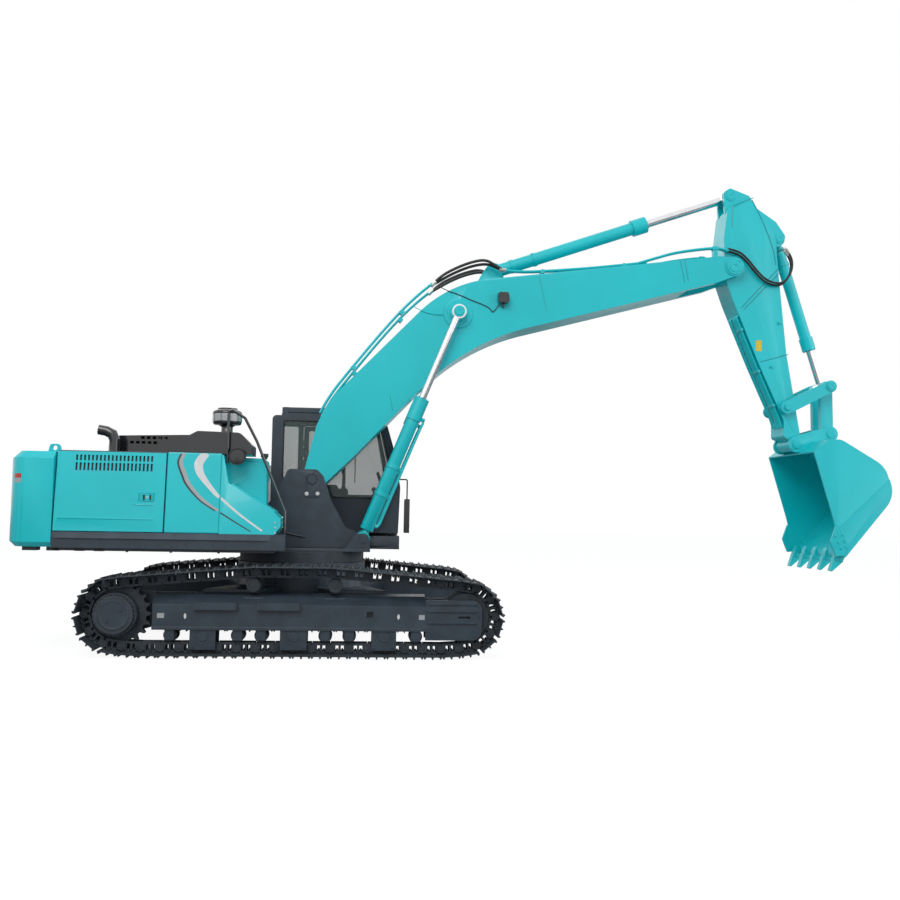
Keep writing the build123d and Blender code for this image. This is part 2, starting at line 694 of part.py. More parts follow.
for name, side in SIDES.items():
    with BuildPart() as door:
        outer = lean_rows(side, 0, 0, DOOR_Z)
        inner = lean_rows(side, PANEL_THICKNESS, 0, DOOR_Z)
        end_plate([inner[1], outer[1], outer[2], inner[2]], DOOR_X)
        ridge = [(side * (lean_at(RIDGE[1] + up) + out), RIDGE[1] + up, 0) for up, out in RIDGE_ROWS]
        end_plate(ridge, RIDGE[0])
        for low, high in LOUVRE_ROWS:
            for i in range(LOUVRES):
                x = LOUVRE_X[0] + i * (LOUVRE_X[1] - LOUVRE_X[0]) / (LOUVRES - 1)
                louvre = (x - LOUVRE_WIDTH / 2, x + LOUVRE_WIDTH / 2)
                block(louvre, span(side, 1300, 1600), (low, high), mode=Mode.SUBTRACT)
        latch_face = lean_at(LATCH[1][0]) - LATCH_DEPTH
        block(LATCH[0], span(side, latch_face, latch_face + 100), LATCH[1], mode=Mode.SUBTRACT)
    save(door, f"side_door_{name}")

with BuildPart() as tank:
    end_plate(lean_rows(-1, 0, 800, (SKIRT_TOP, PANEL_TOP)), TANK_X)
    end_plate(
        lean_rows(-1, WALL, 800 + WALL, (SKIRT_TOP + WALL, PANEL_TOP - WALL)),
        (TANK_X[0] + WALL, TANK_X[1] - WALL),
        mode=Mode.SUBTRACT,
    )
save(tank, "tank")

# Toolbox ahead of the tank: x, z, corner radius
TOOLBOX_ROWS = [
    (TANK_X[1], SKIRT_TOP, 0),
    (TANK_X[1], 2340, 0),
    (TANK_X[1] + 20, 2340, 0),
    (-800, 2015, 40),
    (-235, 1660, 60),
    (TOOLBOX_FRONT, 1600, 0),
    (TOOLBOX_FRONT, 1510, 0),
    (-250, SKIRT_TOP, 0),
]
# Lid panel on the toolbox's slope, and the box behind it: x, z, corner radius
LID_ROWS = [(-775, 1990, 0), (-760, 2012, 0), (-262, 1699, 0), (-250, 1660, 0)]
BOX_ROWS = [
    (-870, 2010, 0),
    (-870, 2355, 20),
    (-610, 2275, 60),
    (-390, 2250, 20),
    (-380, 1745, 0),
    (-800, 2005, 0),
]
with BuildPart() as toolbox:
    side_plate(TOOLBOX_ROWS, (-SIDE_Y, -900))
    trim_to_lean((TANK_X[1] - 5, TOOLBOX_FRONT + 5), -1)
    side_plate(LID_ROWS, (-1400, -930))
    side_plate(BOX_ROWS, (-1130, -905))
    inside = (-SIDE_Y + 110, -900 - WALL)
    cavity = [
        (TANK_X[1] + WALL, SKIRT_TOP + WALL, 0),
        (TANK_X[1] + WALL, 1980, 0),
        (-810, 1980, 0),
        (-230, 1620, 0),
        (-230, SKIRT_TOP + WALL, 0),
    ]
    side_plate(cavity, inside, mode=Mode.SUBTRACT)
save(toolbox, "toolbox")

with BuildPart() as locker:
    end_plate(lean_rows(1, 0, 960, (SKIRT_TOP, PANEL_TOP)), LOCKER_X)
    end_plate(
        lean_rows(1, WALL, 960 + WALL, (SKIRT_TOP + WALL, PANEL_TOP - WALL)),
        (LOCKER_X[0] + WALL, LOCKER_X[1] - WALL),
        mode=Mode.SUBTRACT,
    )
save(locker, "side_locker")

with BuildPart() as hydraulic_tank:
    x_span, y_span, z_span = (-1450, -900), (-795, 900), (RAIL_TOP, 2330)
    block(x_span, y_span, z_span)
    block(*((low + WALL, high - WALL) for low, high in (x_span, y_span, z_span)), mode=Mode.SUBTRACT)
save(hydraulic_tank, "hydraulic_tank")

# Engine hood: x, z, corner radius
HOOD_ROWS = [
    (-2350, PANEL_TOP + SEAT_GAP, 0),
    (-2350, 2470, 0),
    (-2240, 2590, 60),
    (-1340, 2620, 50),
    (-1340, PANEL_TOP + SEAT_GAP, 0),
]
# Square openings along the hood's sides: first x and middle height of each row
HOOD_SLOTS = ((-1944, 2570), (-2073, 2510))
HOOD_SLOT_STEP = 70
with BuildPart() as hood:
    side_plate(HOOD_ROWS, HOOD_Y)
    hollow = [
        (-2350 + WALL, PANEL_TOP, 0),
        (-2350 + WALL, 2470, 0),
        (-2240, 2590 - WALL, 0),
        (-1340 - WALL, 2620 - WALL, 0),
        (-1340 - WALL, PANEL_TOP, 0),
    ]
    side_plate(hollow, (HOOD_Y[0] + WALL, HOOD_Y[1] - WALL), mode=Mode.SUBTRACT)
    for row_x, z in HOOD_SLOTS:
        for i in range(5):
            x = row_x + i * HOOD_SLOT_STEP
            block((x - 22, x + 22), (-2000, 2000), (z - 16, z + 16), mode=Mode.SUBTRACT)
save(hood, "hood")

EXHAUST_Y = -950
EXHAUST_RADIUS = 62
# x, z of the exhaust's mitred bends
EXHAUST_ROWS = ((-2230, PANEL_TOP), (-2230, 2520), (-2260, 2590), (-2330, 2625), (-2420, 2640))
with BuildPart() as exhaust:
    with BuildLine() as route:
        Polyline(*((x, EXHAUST_Y, z) for x, z in EXHAUST_ROWS))
    with BuildSketch(Plane(origin=route.line @ 0, z_dir=route.line % 0)):
        RegularPolygon(EXHAUST_RADIUS, 24)
        RegularPolygon(EXHAUST_RADIUS - 6, 24, mode=Mode.SUBTRACT)
    sweep(transition=Transition.RIGHT)
save(exhaust, "exhaust_pipe")

AIR_CLEANER_Y = (-1270, -760)
PRECLEANER_X = -890
with BuildPart() as air_cleaner:
    dome = [
        (-1325, PANEL_TOP, 0),
        (-1325, 2560, 90),
        (-1200, 2630, 60),
        (-700, 2620, 90),
        (-560, 2480, 60),
        (-560, PANEL_TOP, 0),
    ]
    side_plate(dome, AIR_CLEANER_Y)
    middle_y = sum(AIR_CLEANER_Y) / 2
    # height, radius of each step of the pre-cleaner
    for low, high, radius in ((2600, 2730, 60), (2730, 2760, 150), (2760, 2870, 170), (2870, 2930, 120)):
        with Locations((PRECLEANER_X, middle_y, (low + high) / 2)):
            Cylinder(radius, high - low)
save(air_cleaner, "air_cleaner")

# ---------------------------------------------------------------- cab

# Cab's side outline: x, z, corner radius
CAB_ROWS = [
    (CAB_X[0], CAB_Z[0], 0),
    (CAB_X[0], CAB_Z[1], 60),
    (1060, CAB_Z[1], 90),
    (1180, 2620, 0),
    (CAB_X[1], 2060, 300),
    (1270, CAB_Z[0], 0),
]
# The same outline inside the walls
CAB_INSIDE = [
    (CAB_X[0] + CAB_WALL, CAB_Z[0] + CAB_WALL, 0),
    (CAB_X[0] + CAB_WALL, CAB_Z[1] - CAB_WALL, 30),
    (1030, CAB_Z[1] - CAB_WALL, 50),
    (1135, 2610, 0),
    (CAB_X[1] - CAB_WALL, 2055, 250),
    (1225, CAB_Z[0] + CAB_WALL, 0),
]
# Right window and the door's window: x, z, corner radius
RIGHT_WINDOW = [
    (-330, 2150, 40),
    (-330, 2950, 40),
    (1000, 2950, 40),
    (1180, 2150, 40),
    (1150, 1900, 40),
    (150, 1900, 40),
]
DOOR_ROWS = [
    (-110, CAB_Z[0] + 50, 40),
    (-110, 2950, 40),
    (1000, 2950, 40),
    (1190, 2100, 40),
    (1150, CAB_Z[0] + 50, 40),
]
DOOR_WINDOW = [(-40, 1950, 40), (-40, 2890, 40), (960, 2890, 40), (1110, 2110, 40), (1090, 1950, 40)]
REAR_QUARTER = [(-420, 2150, 40), (-420, 2950, 40), (-180, 2950, 40), (-180, 2150, 40)]
# Outer face of the front pane: x, z, corner radius
FRONT_PANE = [(1262, 1570, 0), (1276, 2060, 0), (1168, 2610, 0), (1085, 2895, 0)]
FRONT_WINDOW_Y = (CAB_Y[0] + 70, CAB_Y[1] - 70)
FRONT_WINDOW_Z = (1560, 2900)
REAR_WINDOW_Z = (2150, 2900)
DOOR_GAP = 6
# The cab door's hinge: its axis in plan, its knuckles' radius and where they meet
HINGE = (DOOR_ROWS[0][0] + DOOR_GAP / 2, CAB_Y[1] + 14)
KNUCKLE_RADIUS = 13
KNUCKLE_HEIGHT = 45
KNUCKLE_ZS = (1700, 2700)


def hinge_half(z_span, leaf_x):
    """One half of a hinge: a knuckle on the axis and the leaf that holds it to a panel."""
    with Locations((*HINGE, sum(z_span) / 2)):
        Cylinder(KNUCKLE_RADIUS, z_span[1] - z_span[0])
    block(leaf_x, (CAB_Y[1] - 1, CAB_Y[1] + 10), z_span)


with BuildPart() as cab_shell:
    side_plate(CAB_ROWS, CAB_Y)
    side_plate(CAB_INSIDE, (CAB_Y[0] + CAB_WALL, CAB_Y[1] - CAB_WALL), mode=Mode.SUBTRACT)
    side_plate(RIGHT_WINDOW, (CAB_Y[0] - 50, CAB_Y[0] + CAB_WALL + 50), mode=Mode.SUBTRACT)
    side_plate(DOOR_ROWS, (CAB_Y[1] - CAB_WALL - 50, CAB_Y[1] + 50), mode=Mode.SUBTRACT)
    side_plate(REAR_QUARTER, (CAB_Y[1] - CAB_WALL - 50, CAB_Y[1] + 50), mode=Mode.SUBTRACT)
    block((1000, 1400), FRONT_WINDOW_Y, FRONT_WINDOW_Z, mode=Mode.SUBTRACT)
    block((CAB_X[0] - 50, CAB_X[0] + 100), FRONT_WINDOW_Y, REAR_WINDOW_Z, mode=Mode.SUBTRACT)
    for z in KNUCKLE_ZS:
        hinge_half((z - KNUCKLE_HEIGHT, z - REST_GAP), (HINGE[0] - 45, HINGE[0] - 5))
save(cab_shell, "cab_shell")

with BuildPart() as cab_door:
    side_plate(inset_rows(DOOR_ROWS, DOOR_GAP), (CAB_Y[1] - CAB_WALL, CAB_Y[1]))
    side_plate(DOOR_WINDOW, (CAB_Y[1] - CAB_WALL - 50, CAB_Y[1] + 50), mode=Mode.SUBTRACT)
    for z in KNUCKLE_ZS:
        hinge_half((z, z + KNUCKLE_HEIGHT), (HINGE[0] + 5, HINGE[0] + 45))
save(cab_door, "cab_door")

with BuildPart() as door_glass:
    side_plate(inset_rows(DOOR_WINDOW, REST_GAP), (CAB_Y[1] - 15 - GLASS, CAB_Y[1] - 15))
save(door_glass, "door_glass")

with BuildPart() as cab_glass:
    side_plate(inset_rows(RIGHT_WINDOW, REST_GAP), (CAB_Y[0] + 15, CAB_Y[0] + 15 + GLASS))
    side_plate(inset_rows(REAR_QUARTER, REST_GAP), (CAB_Y[1] - 15 - GLASS, CAB_Y[1] - 15))
    pane_y = (FRONT_WINDOW_Y[0] + REST_GAP, FRONT_WINDOW_Y[1] - REST_GAP)
    pane_z = (REAR_WINDOW_Z[0] + REST_GAP, REAR_WINDOW_Z[1] - REST_GAP)
    block((CAB_X[0] + 15, CAB_X[0] + 15 + GLASS), pane_y, pane_z)
    front_inside = [(x - GLASS, z, 0) for x, z, _ in reversed(FRONT_PANE)]
    side_plate(FRONT_PANE + front_inside, pane_y)
save(cab_glass, "cab_glass")

with BuildPart() as roof_guard:
    block((-370, 1000), (CAB_Y[0] + 60, CAB_Y[1] - 60), (CAB_Z[1], CAB_Z[1] + 40))
    for x in (-340, 300, 930):
        block((x, x + 60), (CAB_Y[0] + 60, CAB_Y[1] - 60), (CAB_Z[1] + 30, CAB_Z[1] + 120))
save(roof_guard, "roof_guard")

SEAT_MIDDLE = sum(CAB_Y) / 2
FLOOR = CAB_Z[0] + CAB_WALL
SEAT_BOTTOM = FLOOR + 340
with BuildPart() as seat:
    rows = [
        (30, SEAT_BOTTOM + REST_GAP, 30),
        (-170, FLOOR + 1150, 40),
        (-50, FLOOR + 1170, 40),
        (130, FLOOR + 500, 60),
        (560, FLOOR + 490, 60),
        (560, SEAT_BOTTOM + REST_GAP, 40),
    ]
    side_plate(rows, (SEAT_MIDDLE - 250, SEAT_MIDDLE + 250))
save(seat, "operator_seat")

with BuildPart() as console:
    block((80, 480), (SEAT_MIDDLE - 180, SEAT_MIDDLE + 180), (FLOOR, SEAT_BOTTOM))
    for y in (SEAT_MIDDLE - 330, SEAT_MIDDLE + 330):
        block((60, 560), (y - 60, y + 60), (FLOOR, FLOOR + 560))
        with Locations((500, y, FLOOR + 660)):
            Cylinder(18, 220)
    for y in (SEAT_MIDDLE - 90, SEAT_MIDDLE + 90):
        block((900, 960), (y - 50, y + 50), (FLOOR, FLOOR + 60))
        with Locations((930, y, FLOOR + 300)):
            Cylinder(14, 520)
save(console, "cab_console")

# ---------------------------------------------------------------- rails and mirrors


def bent_tube(points, bend, radius):
    """A round tube along a bent route."""
    with BuildPart() as tube:
        with BuildLine() as route:
            FilletPolyline(*points, radius=bend)
        with BuildSketch(Plane(origin=route.line @ 0, z_dir=route.line % 0)):
            RegularPolygon(radius, TUBE_SIDES)
        sweep()
    return tube


TUBE_SIDES = 10
RAIL_TUBE = 17
RAIL_Y = -1340
RAIL_FOOT_X = TOOLBOX_FRONT + 35
# x, z of the rail's bends
RAIL_ROWS = [
    (-830, 2246),
    (-830, 2905),
    (-640, 2790),
    (-490, 2510),
    (RAIL_FOOT_X, 1690),
    (RAIL_FOOT_X, SKIRT_TOP - 5),
]
RIGHT_MIRROR = (-715, 2330)
RIGHT_MIRROR_RADIUS = 100
rail_tube = bent_tube([(x, RAIL_Y, z) for x, z in RAIL_ROWS], 40, RAIL_TUBE)
with BuildPart() as handrail:
    add(rail_tube.part)
    wheel_bar(RIGHT_MIRROR, RIGHT_MIRROR_RADIUS, (RAIL_Y - 30, RAIL_Y + 30), 24)
    block((RAIL_ROWS[0][0], RIGHT_MIRROR[0]), (RAIL_Y - 9, RAIL_Y + 9), (2321, 2339))
save(handrail, "handrail_right")

MIRROR_ARM = [(1222, CAB_Y[1], 2200), (1222, 1535, 2200), (1430, 1535, 2200), (1430, 1535, 1900)]
mirror_arm = bent_tube(MIRROR_ARM, 25, 11)
with BuildPart() as mirror:
    add(mirror_arm.part)
    block((1390, 1470), (1470, 1560), (1410, 1910))
save(mirror, "mirror_left")

# ---------------------------------------------------------------- boom

# Boom's side outline from the foot pin: x, z, corner radius
BOOM_ROWS = [
    (-120, 60, 60),
    (40, 720, 300),
    (210, 1060, 0),
    (1720, 2637, 1600),
    (5400, 3146, 0),
    (5610, 3140, 0),
    (5610, 2880, 0),
    (5360, 2780, 0),
    (1982, 1856, 3000),
    (520, 310, 0),
    (120, -90, 60),
]
FOOT_BOSS = 150
TIP_BOSS = 130
FORK_X_FROM_FOOT = ARM_PIN_FROM_FOOT[0] - BOOM_FORK_DEPTH
ROD_BOSS = 195
ARM_PIN_RADIUS = 60
BOOM_ROD_BOSS_Y = BOOM_CYLINDER_Y - BOOM_EYE_HALF - SEAT_GAP

# Bracket for the arm cylinder on the boom's back, from the foot pin: x, z, corner radius
ARM_BASE_ROWS = [(2080, 2640, 0), (2200, 2860, 60), (2290, 2980, 60), (2400, 2970, 60), (2500, 2720, 0)]

# Room inside the boom's plates: clear of the foot's boss, and closed ahead of the fork
INSIDE = inset_rows(BOOM_ROWS, BOOM_PLATE)
ROOM_END = FORK_X_FROM_FOOT - BOOM_PLATE
BOOM_ROOM = [
    *INSIDE[1:4],
    (ROOM_END, height_at(INSIDE[3], INSIDE[4], ROOM_END), 0),
    (ROOM_END, height_at(INSIDE[8], INSIDE[7], ROOM_END), 0),
    *INSIDE[8:10],
    (FOOT_BOSS + 40, FOOT_BOSS + 40, 0),
]

with BuildPart() as boom:
    width = (-BOOM_HALF_WIDTH, BOOM_HALF_WIDTH)
    inside = (-BOOM_HALF_WIDTH + BOOM_PLATE, BOOM_HALF_WIDTH - BOOM_PLATE)
    side_plate(BOOM_ROWS, width, at=BOOM_FOOT)
    cross_bar(BOOM_FOOT, FOOT_BOSS, (-BRACKET_Y[0] + SEAT_GAP, BRACKET_Y[0] - SEAT_GAP))
    cross_bar(ARM_PIN, TIP_BOSS, (-BOOM_HALF_WIDTH - 12, BOOM_HALF_WIDTH + 12))
    side_plate(BOOM_ROOM, inside, at=BOOM_FOOT, mode=Mode.SUBTRACT)
    fork_x = BOOM_FOOT[0] + FORK_X_FROM_FOOT
    gap = (-BOOM_FORK_GAP, BOOM_FORK_GAP)
    block((fork_x, fork_x + 2000), gap, (0, 8000), mode=Mode.SUBTRACT)
    cross_bar(ARM_PIN, ARM_PIN_RADIUS, (-BOOM_HALF_WIDTH - 12, BOOM_HALF_WIDTH + 12))
    cross_bar(BOOM_FOOT, BOOM_FOOT_PIN + PIN_CLEARANCE, (-BRACKET_Y[0], BRACKET_Y[0]), mode=Mode.SUBTRACT)
    for side in SIDES.values():
        cross_bar(BOOM_ROD_PIN, ROD_BOSS, span(side, BOOM_HALF_WIDTH - 5, BOOM_HALF_WIDTH + 15))
        cross_bar(BOOM_ROD_PIN, 110, span(side, BOOM_HALF_WIDTH, BOOM_ROD_BOSS_Y))
        side_plate(ARM_BASE_ROWS, span(side, 95, 140), at=BOOM_FOOT)
    cross_bar(ARM_CYLINDER_BASE, 50, (-150, 150))
save(boom, "boom")

# Work lamp on the boom's right side, on a bracket of its own
LAMP_X = (2500, 2625)
LAMP_Z = (4490, 4630)
with BuildPart() as boom_lamp:
    block(LAMP_X, (-BOOM_HALF_WIDTH - 105, -BOOM_HALF_WIDTH - 15), LAMP_Z)
    block((2545, 2580), (-BOOM_HALF_WIDTH - 40, -BOOM_HALF_WIDTH), (4440, 4500))
save(boom_lamp, "boom_lamp")

# ---------------------------------------------------------------- cylinders

CYLINDER_END = 20  # thickness of a barrel's closed end
GLAND_DEPTH = 55  # length of the rod's bearing in a gland
PISTON_LENGTH = 50


def cylinder_pair(base, rod_pin, y, sizes):
    """A cylinder's barrel and rod between two pins, as two open builders.

    sizes names the barrel's and rod's radii and lengths from the base pin."""
    length = pin_distance(base, rod_pin)
    half = sizes["eye half"]
    with BuildPart() as barrel:
        cross_bar(base, sizes["base eye"], (y - half, y + half))
        round_bar(base, rod_pin, y, (sizes["base eye"] * 0.6, sizes["head"]), sizes["neck"])
        round_bar(base, rod_pin, y, (sizes["head"], sizes["gland"]), sizes["barrel"])
        collar_start = sizes["gland"] - sizes["collar length"]
        round_bar(base, rod_pin, y, (collar_start, sizes["gland"]), sizes["collar"])
        bore_reach = (sizes["head"] + CYLINDER_END, sizes["gland"] - GLAND_DEPTH)
        round_bar(base, rod_pin, y, bore_reach, sizes["bore"], mode=Mode.SUBTRACT)
        rod_bore = sizes["rod"] + PIN_CLEARANCE
        rod_way = (bore_reach[1] - 1, sizes["gland"] + 1)
        round_bar(base, rod_pin, y, rod_way, rod_bore, mode=Mode.SUBTRACT)
        cross_bar(base, sizes["pin"] + PIN_CLEARANCE, (y - half, y + half), mode=Mode.SUBTRACT)
    with BuildPart() as rod:
        round_bar(base, rod_pin, y, (sizes["piston"], length - sizes["rod eye"] * 0.6), sizes["rod"])
        piston = (sizes["piston"], sizes["piston"] + PISTON_LENGTH)
        round_bar(base, rod_pin, y, piston, sizes["bore"] - PIN_CLEARANCE)
        cross_bar(rod_pin, sizes["rod eye"], (y - half, y + half))
    return barrel, rod


BOOM_CYLINDER = {
    "barrel": 85,
    "collar": 98,
    "collar length": 300,
    "bore": 70,
    "rod": 47.5,
    "neck": 46,
    "head": 130,
    "gland": 1960,
    "piston": 1290,
    "base eye": 95,
    "rod eye": 95,
    "eye half": BOOM_EYE_HALF,
    "pin": BOOM_CYLINDER_PIN,
}
ARM_CYLINDER = {
    "barrel": 86,
    "collar": 112,
    "collar length": 200,
    "bore": 70,
    "rod": 52,
    "neck": 60,
    "head": 110,
    "gland": 2268,
    "piston": 1250,
    "base eye": 95,
    "rod eye": 100,
    "eye half": 80,
    "pin": 50,
}
BUCKET_CYLINDER = {
    "barrel": 78,
    "collar": 92,
    "collar length": 180,
    "bore": 64,
    "rod": 46,
    "neck": 60,
    "head": 110,
    "gland": 1600,
    "piston": 600,
    "base eye": 85,
    "rod eye": 88,
    "eye half": 74,
    "pin": 45,
}

boom_pairs = [
    cylinder_pair(BOOM_CYLINDER_BASE, BOOM_ROD_PIN, side * BOOM_CYLINDER_Y, BOOM_CYLINDER)
    for side in SIDES.values()
]
with BuildPart() as boom_barrels:
    add([barrel.part for barrel, _ in boom_pairs])
save(boom_barrels, "boom_barrels")
with BuildPart() as boom_rods:
    add([rod.part for _, rod in boom_pairs])
save(boom_rods, "boom_rods")

barrel, rod = cylinder_pair(ARM_CYLINDER_BASE, ARM_ROD_PIN, 0, ARM_CYLINDER)
save(barrel, "arm_barrel")
save(rod, "arm_rod")
barrel, rod = cylinder_pair(BUCKET_CYLINDER_BASE, TIP_JOINT, 0, BUCKET_CYLINDER)
save(barrel, "bucket_barrel")
save(rod, "bucket_rod")

# ---------------------------------------------------------------- arm

# Arm's box from the arm pin: x, z, corner radius
ARM_ROWS = [
    (-110, 420, 0),
    (-60, 830, 60),
    (60, 860, 60),
    (270, 990, 80),
    (630, 420, 60),
    (650, 80, 0),
    (700, -420, 0),
    (770, -1160, 0),
    (960, -2270, 0),
    (880, -2360, 0),
    (730, -2290, 40),
    (730, -2070, 80),
    (380, -1300, 0),
    (20, -440, 400),
    (-90, -130, 60),
]
# Ear plates from the rod pin round to the bucket cylinder's base, from the arm pin: x, z, radius
ARM_EAR_ROWS = [
    (-90, 1080, 60),
    (0, 1150, 60),
    (280, 1050, 60),
    (370, 890, 0),
    (660, 700, 60),
    (800, 500, 70),
    (740, 370, 50),
    (600, 330, 0),
    (300, 300, 0),
    (-60, 600, 0),
]
# Room inside the arm's plates, from the arm pin: x, z, corner radius
ARM_ROOM = [
    (200, 900, 60),
    (590, 410, 60),
    (636, 80, 0),
    (686, -420, 0),
    (756, -1160, 0),
    (915, -2100, 0),
    (760, -2100, 40),
    (394, -1300, 0),
    (60, -440, 400),
    (170, -60, 60),
    (170, 300, 60),
    (0, 800, 40),
]
BUCKET_PIN_RADIUS = 45
ARM_TIP_BOSS = 90
with BuildPart() as arm:
    width = (-ARM_HALF_WIDTH, ARM_HALF_WIDTH)
    side_plate(ARM_ROWS, width, at=ARM_PIN)
    inside = (-ARM_HALF_WIDTH + ARM_PLATE, ARM_HALF_WIDTH - ARM_PLATE)
    side_plate(ARM_ROOM, inside, at=ARM_PIN, mode=Mode.SUBTRACT)
    cross_bar(ARM_PIN, TIP_BOSS, (-BOOM_FORK_GAP + SEAT_GAP, BOOM_FORK_GAP - SEAT_GAP))
    cross_bar(ARM_PIN, ARM_PIN_RADIUS + PIN_CLEARANCE, (-BOOM_FORK_GAP, BOOM_FORK_GAP), mode=Mode.SUBTRACT)
    cross_bar(BUCKET_PIN, ARM_TIP_BOSS, width)
    cross_bar(BUCKET_PIN, BUCKET_PIN_RADIUS + PIN_CLEARANCE, width, mode=Mode.SUBTRACT)
    for side in SIDES.values():
        side_plate(ARM_EAR_ROWS, span(side, *EAR_Y), at=ARM_PIN)
        cross_bar(ARM_ROD_PIN, 90, span(side, 80 + SEAT_GAP, EAR_Y[0] + 5))
        cross_bar(BUCKET_CYLINDER_BASE, 90, span(side, 74 + SEAT_GAP, EAR_Y[0] + 5))
        cross_bar(IDLER_PIN, 45, span(side, ARM_HALF_WIDTH - 5, IDLER_LINK_Y[1] + 16))
    cross_bar(BUCKET_CYLINDER_BASE, 45, (-EAR_Y[1], EAR_Y[1]))
save(arm, "arm")

# ---------------------------------------------------------------- bucket linkage

with BuildPart() as idler_links:
    for side in SIDES.values():
        link_bar(IDLER_PIN, TIP_JOINT, span(side, *IDLER_LINK_Y), (88, 80))
        cross_bar(IDLER_PIN, 78, span(side, ARM_HALF_WIDTH + SEAT_GAP, IDLER_LINK_Y[1] + 8))
        cross_bar(TIP_JOINT, 72, span(side, POWER_LINK_Y[1] + SEAT_GAP, IDLER_LINK_Y[1] + 15))
        reach = span(side, ARM_HALF_WIDTH, IDLER_LINK_Y[1] + 20)
        cross_bar(IDLER_PIN, 45 + PIN_CLEARANCE, reach, mode=Mode.SUBTRACT)
save(idler_links, "idler_links")

with BuildPart() as power_link:
    tube = (-BUCKET_EAR_Y[0] + SEAT_GAP, BUCKET_EAR_Y[0] - SEAT_GAP)
    cross_bar(LINK_PIN, 85, tube)
    for side in SIDES.values():
        link_bar(LINK_PIN, TIP_JOINT, span(side, *POWER_LINK_Y), (85, 85))
    cross_bar(LINK_PIN, BUCKET_PIN_RADIUS + PIN_CLEARANCE, tube, mode=Mode.SUBTRACT)
save(power_link, "power_link")

# ---------------------------------------------------------------- bucket

# Bucket's side outline from its pin: x, z, corner radius
BUCKET_ROWS = [
    (20, -125, 0),
    (230, 40, 60),
    (400, 40, 200),
    (990, -300, 330),
    (BUCKET_HEEL + 40, -690, 330),
    (440, -1500, 0),
    (400, -1490, 0),
    (280, -1000, 200),
]
# Room inside, open past the mouth: x, z, corner radius
BUCKET_ROOM = [
    (60, -135, 0),
    (235, 40 - BUCKET_PLATE, 40),
    (395, 40 - BUCKET_PLATE, 180),
    (975, -315, 305),
    (BUCKET_HEEL + 5, -685, 305),
    (420, -1495, 0),
    (-100, -1700, 0),
    (-300, -200, 0),
]
# Ear plates between the pins and the bucket's back: x, z, corner radius
BUCKET_EAR_ROWS = [
    (20, -100, 0),
    (0, 0, 0),
    (480, 150, 0),
    (560, 0, 0),
    (700, -120, 0),
    (400, 20, 0),
    (240, 20, 0),
]
# Side cutter bolted on the mouth's lower corner, and all that is above the side's wear plate
CUTTER_ROWS = [
    (345, -1060, 30),
    (295, -1110, 30),
    (225, -1300, 60),
    (300, -1490, 20),
    (410, -1480, 0),
    (470, -1330, 0),
]
ABOVE_WEAR_ROWS = [(-200, -1620, 0), (1250, -290, 0), (1250, 400, 0), (-200, 400, 0)]
CUTTER_DEPTH = 28
WEAR_DEPTH = 10
BUCKET_EAR_RADIUS = 112
with BuildPart() as bucket:
    width = (-BUCKET_HALF_WIDTH, BUCKET_HALF_WIDTH)
    side_plate(BUCKET_ROWS, width, at=BUCKET_PIN)
    room = (-BUCKET_HALF_WIDTH + BUCKET_PLATE, BUCKET_HALF_WIDTH - BUCKET_PLATE)
    side_plate(BUCKET_ROOM, room, at=BUCKET_PIN, mode=Mode.SUBTRACT)
    for side in SIDES.values():
        cutter = span(side, BUCKET_HALF_WIDTH - 5, BUCKET_HALF_WIDTH + CUTTER_DEPTH)
        side_plate(CUTTER_ROWS, cutter, at=BUCKET_PIN)
        wear = span(side, BUCKET_HALF_WIDTH - 5, BUCKET_HALF_WIDTH + WEAR_DEPTH)
        plane = Plane.XZ.offset(-wear[1])
        above = outline_face(ABOVE_WEAR_ROWS, plane, BUCKET_PIN)
        below = outline_face(BUCKET_ROWS, plane, BUCKET_PIN) - above
        extrude(below, amount=wear[1] - wear[0])
        ear = span(side, *BUCKET_EAR_Y)
        link_bar(BUCKET_PIN, LINK_PIN, ear, (BUCKET_EAR_RADIUS, BUCKET_EAR_RADIUS - 8))
        side_plate(BUCKET_EAR_ROWS, ear, at=BUCKET_PIN)
    cross_bar(BUCKET_PIN, BUCKET_PIN_RADIUS, (-BUCKET_EAR_Y[1] - 6, BUCKET_EAR_Y[1] + 6))
    cross_bar(LINK_PIN, BUCKET_PIN_RADIUS, (-BUCKET_EAR_Y[1] - 6, BUCKET_EAR_Y[1] + 6))
save(bucket, "bucket")

# Adaptor on the lip and the tooth's point that it carries, from the bucket pin: x, z, radius
ADAPTOR_ROWS = [(500, -1430, 0), (410, -1330, 0), (345, -1440, 0), (330, -1540, 0), (430, -1560, 0)]
POINT_ROWS = [(325, -1500, 0), (265, -1680, 0), (290, -1690, 0), (445, -1560, 0), (400, -1510, 0)]
with BuildPart() as teeth:
    for i in range(BUCKET_TEETH):
        y = -620 + i * 1240 / (BUCKET_TEETH - 1)
        side_plate(ADAPTOR_ROWS, (y - 52, y + 52), at=BUCKET_PIN)
        side_plate(POINT_ROWS, (y - 40, y + 40), at=BUCKET_PIN)
    side_plate(BUCKET_ROWS, (-2000, 2000), at=BUCKET_PIN, mode=Mode.SUBTRACT)
save(teeth, "bucket_teeth")
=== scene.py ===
"""Looks for the crawler excavator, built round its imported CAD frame.

Metres, in the frame's own axes: +X to the bucket, +Y to the cab's side, +Z up from the ground.
"""

import json
from math import acos, atan2, cos, hypot, pi, radians, sin

import bmesh
import bpy
from mathutils import Matrix, Vector
from mathutils.bvhtree import BVHTree


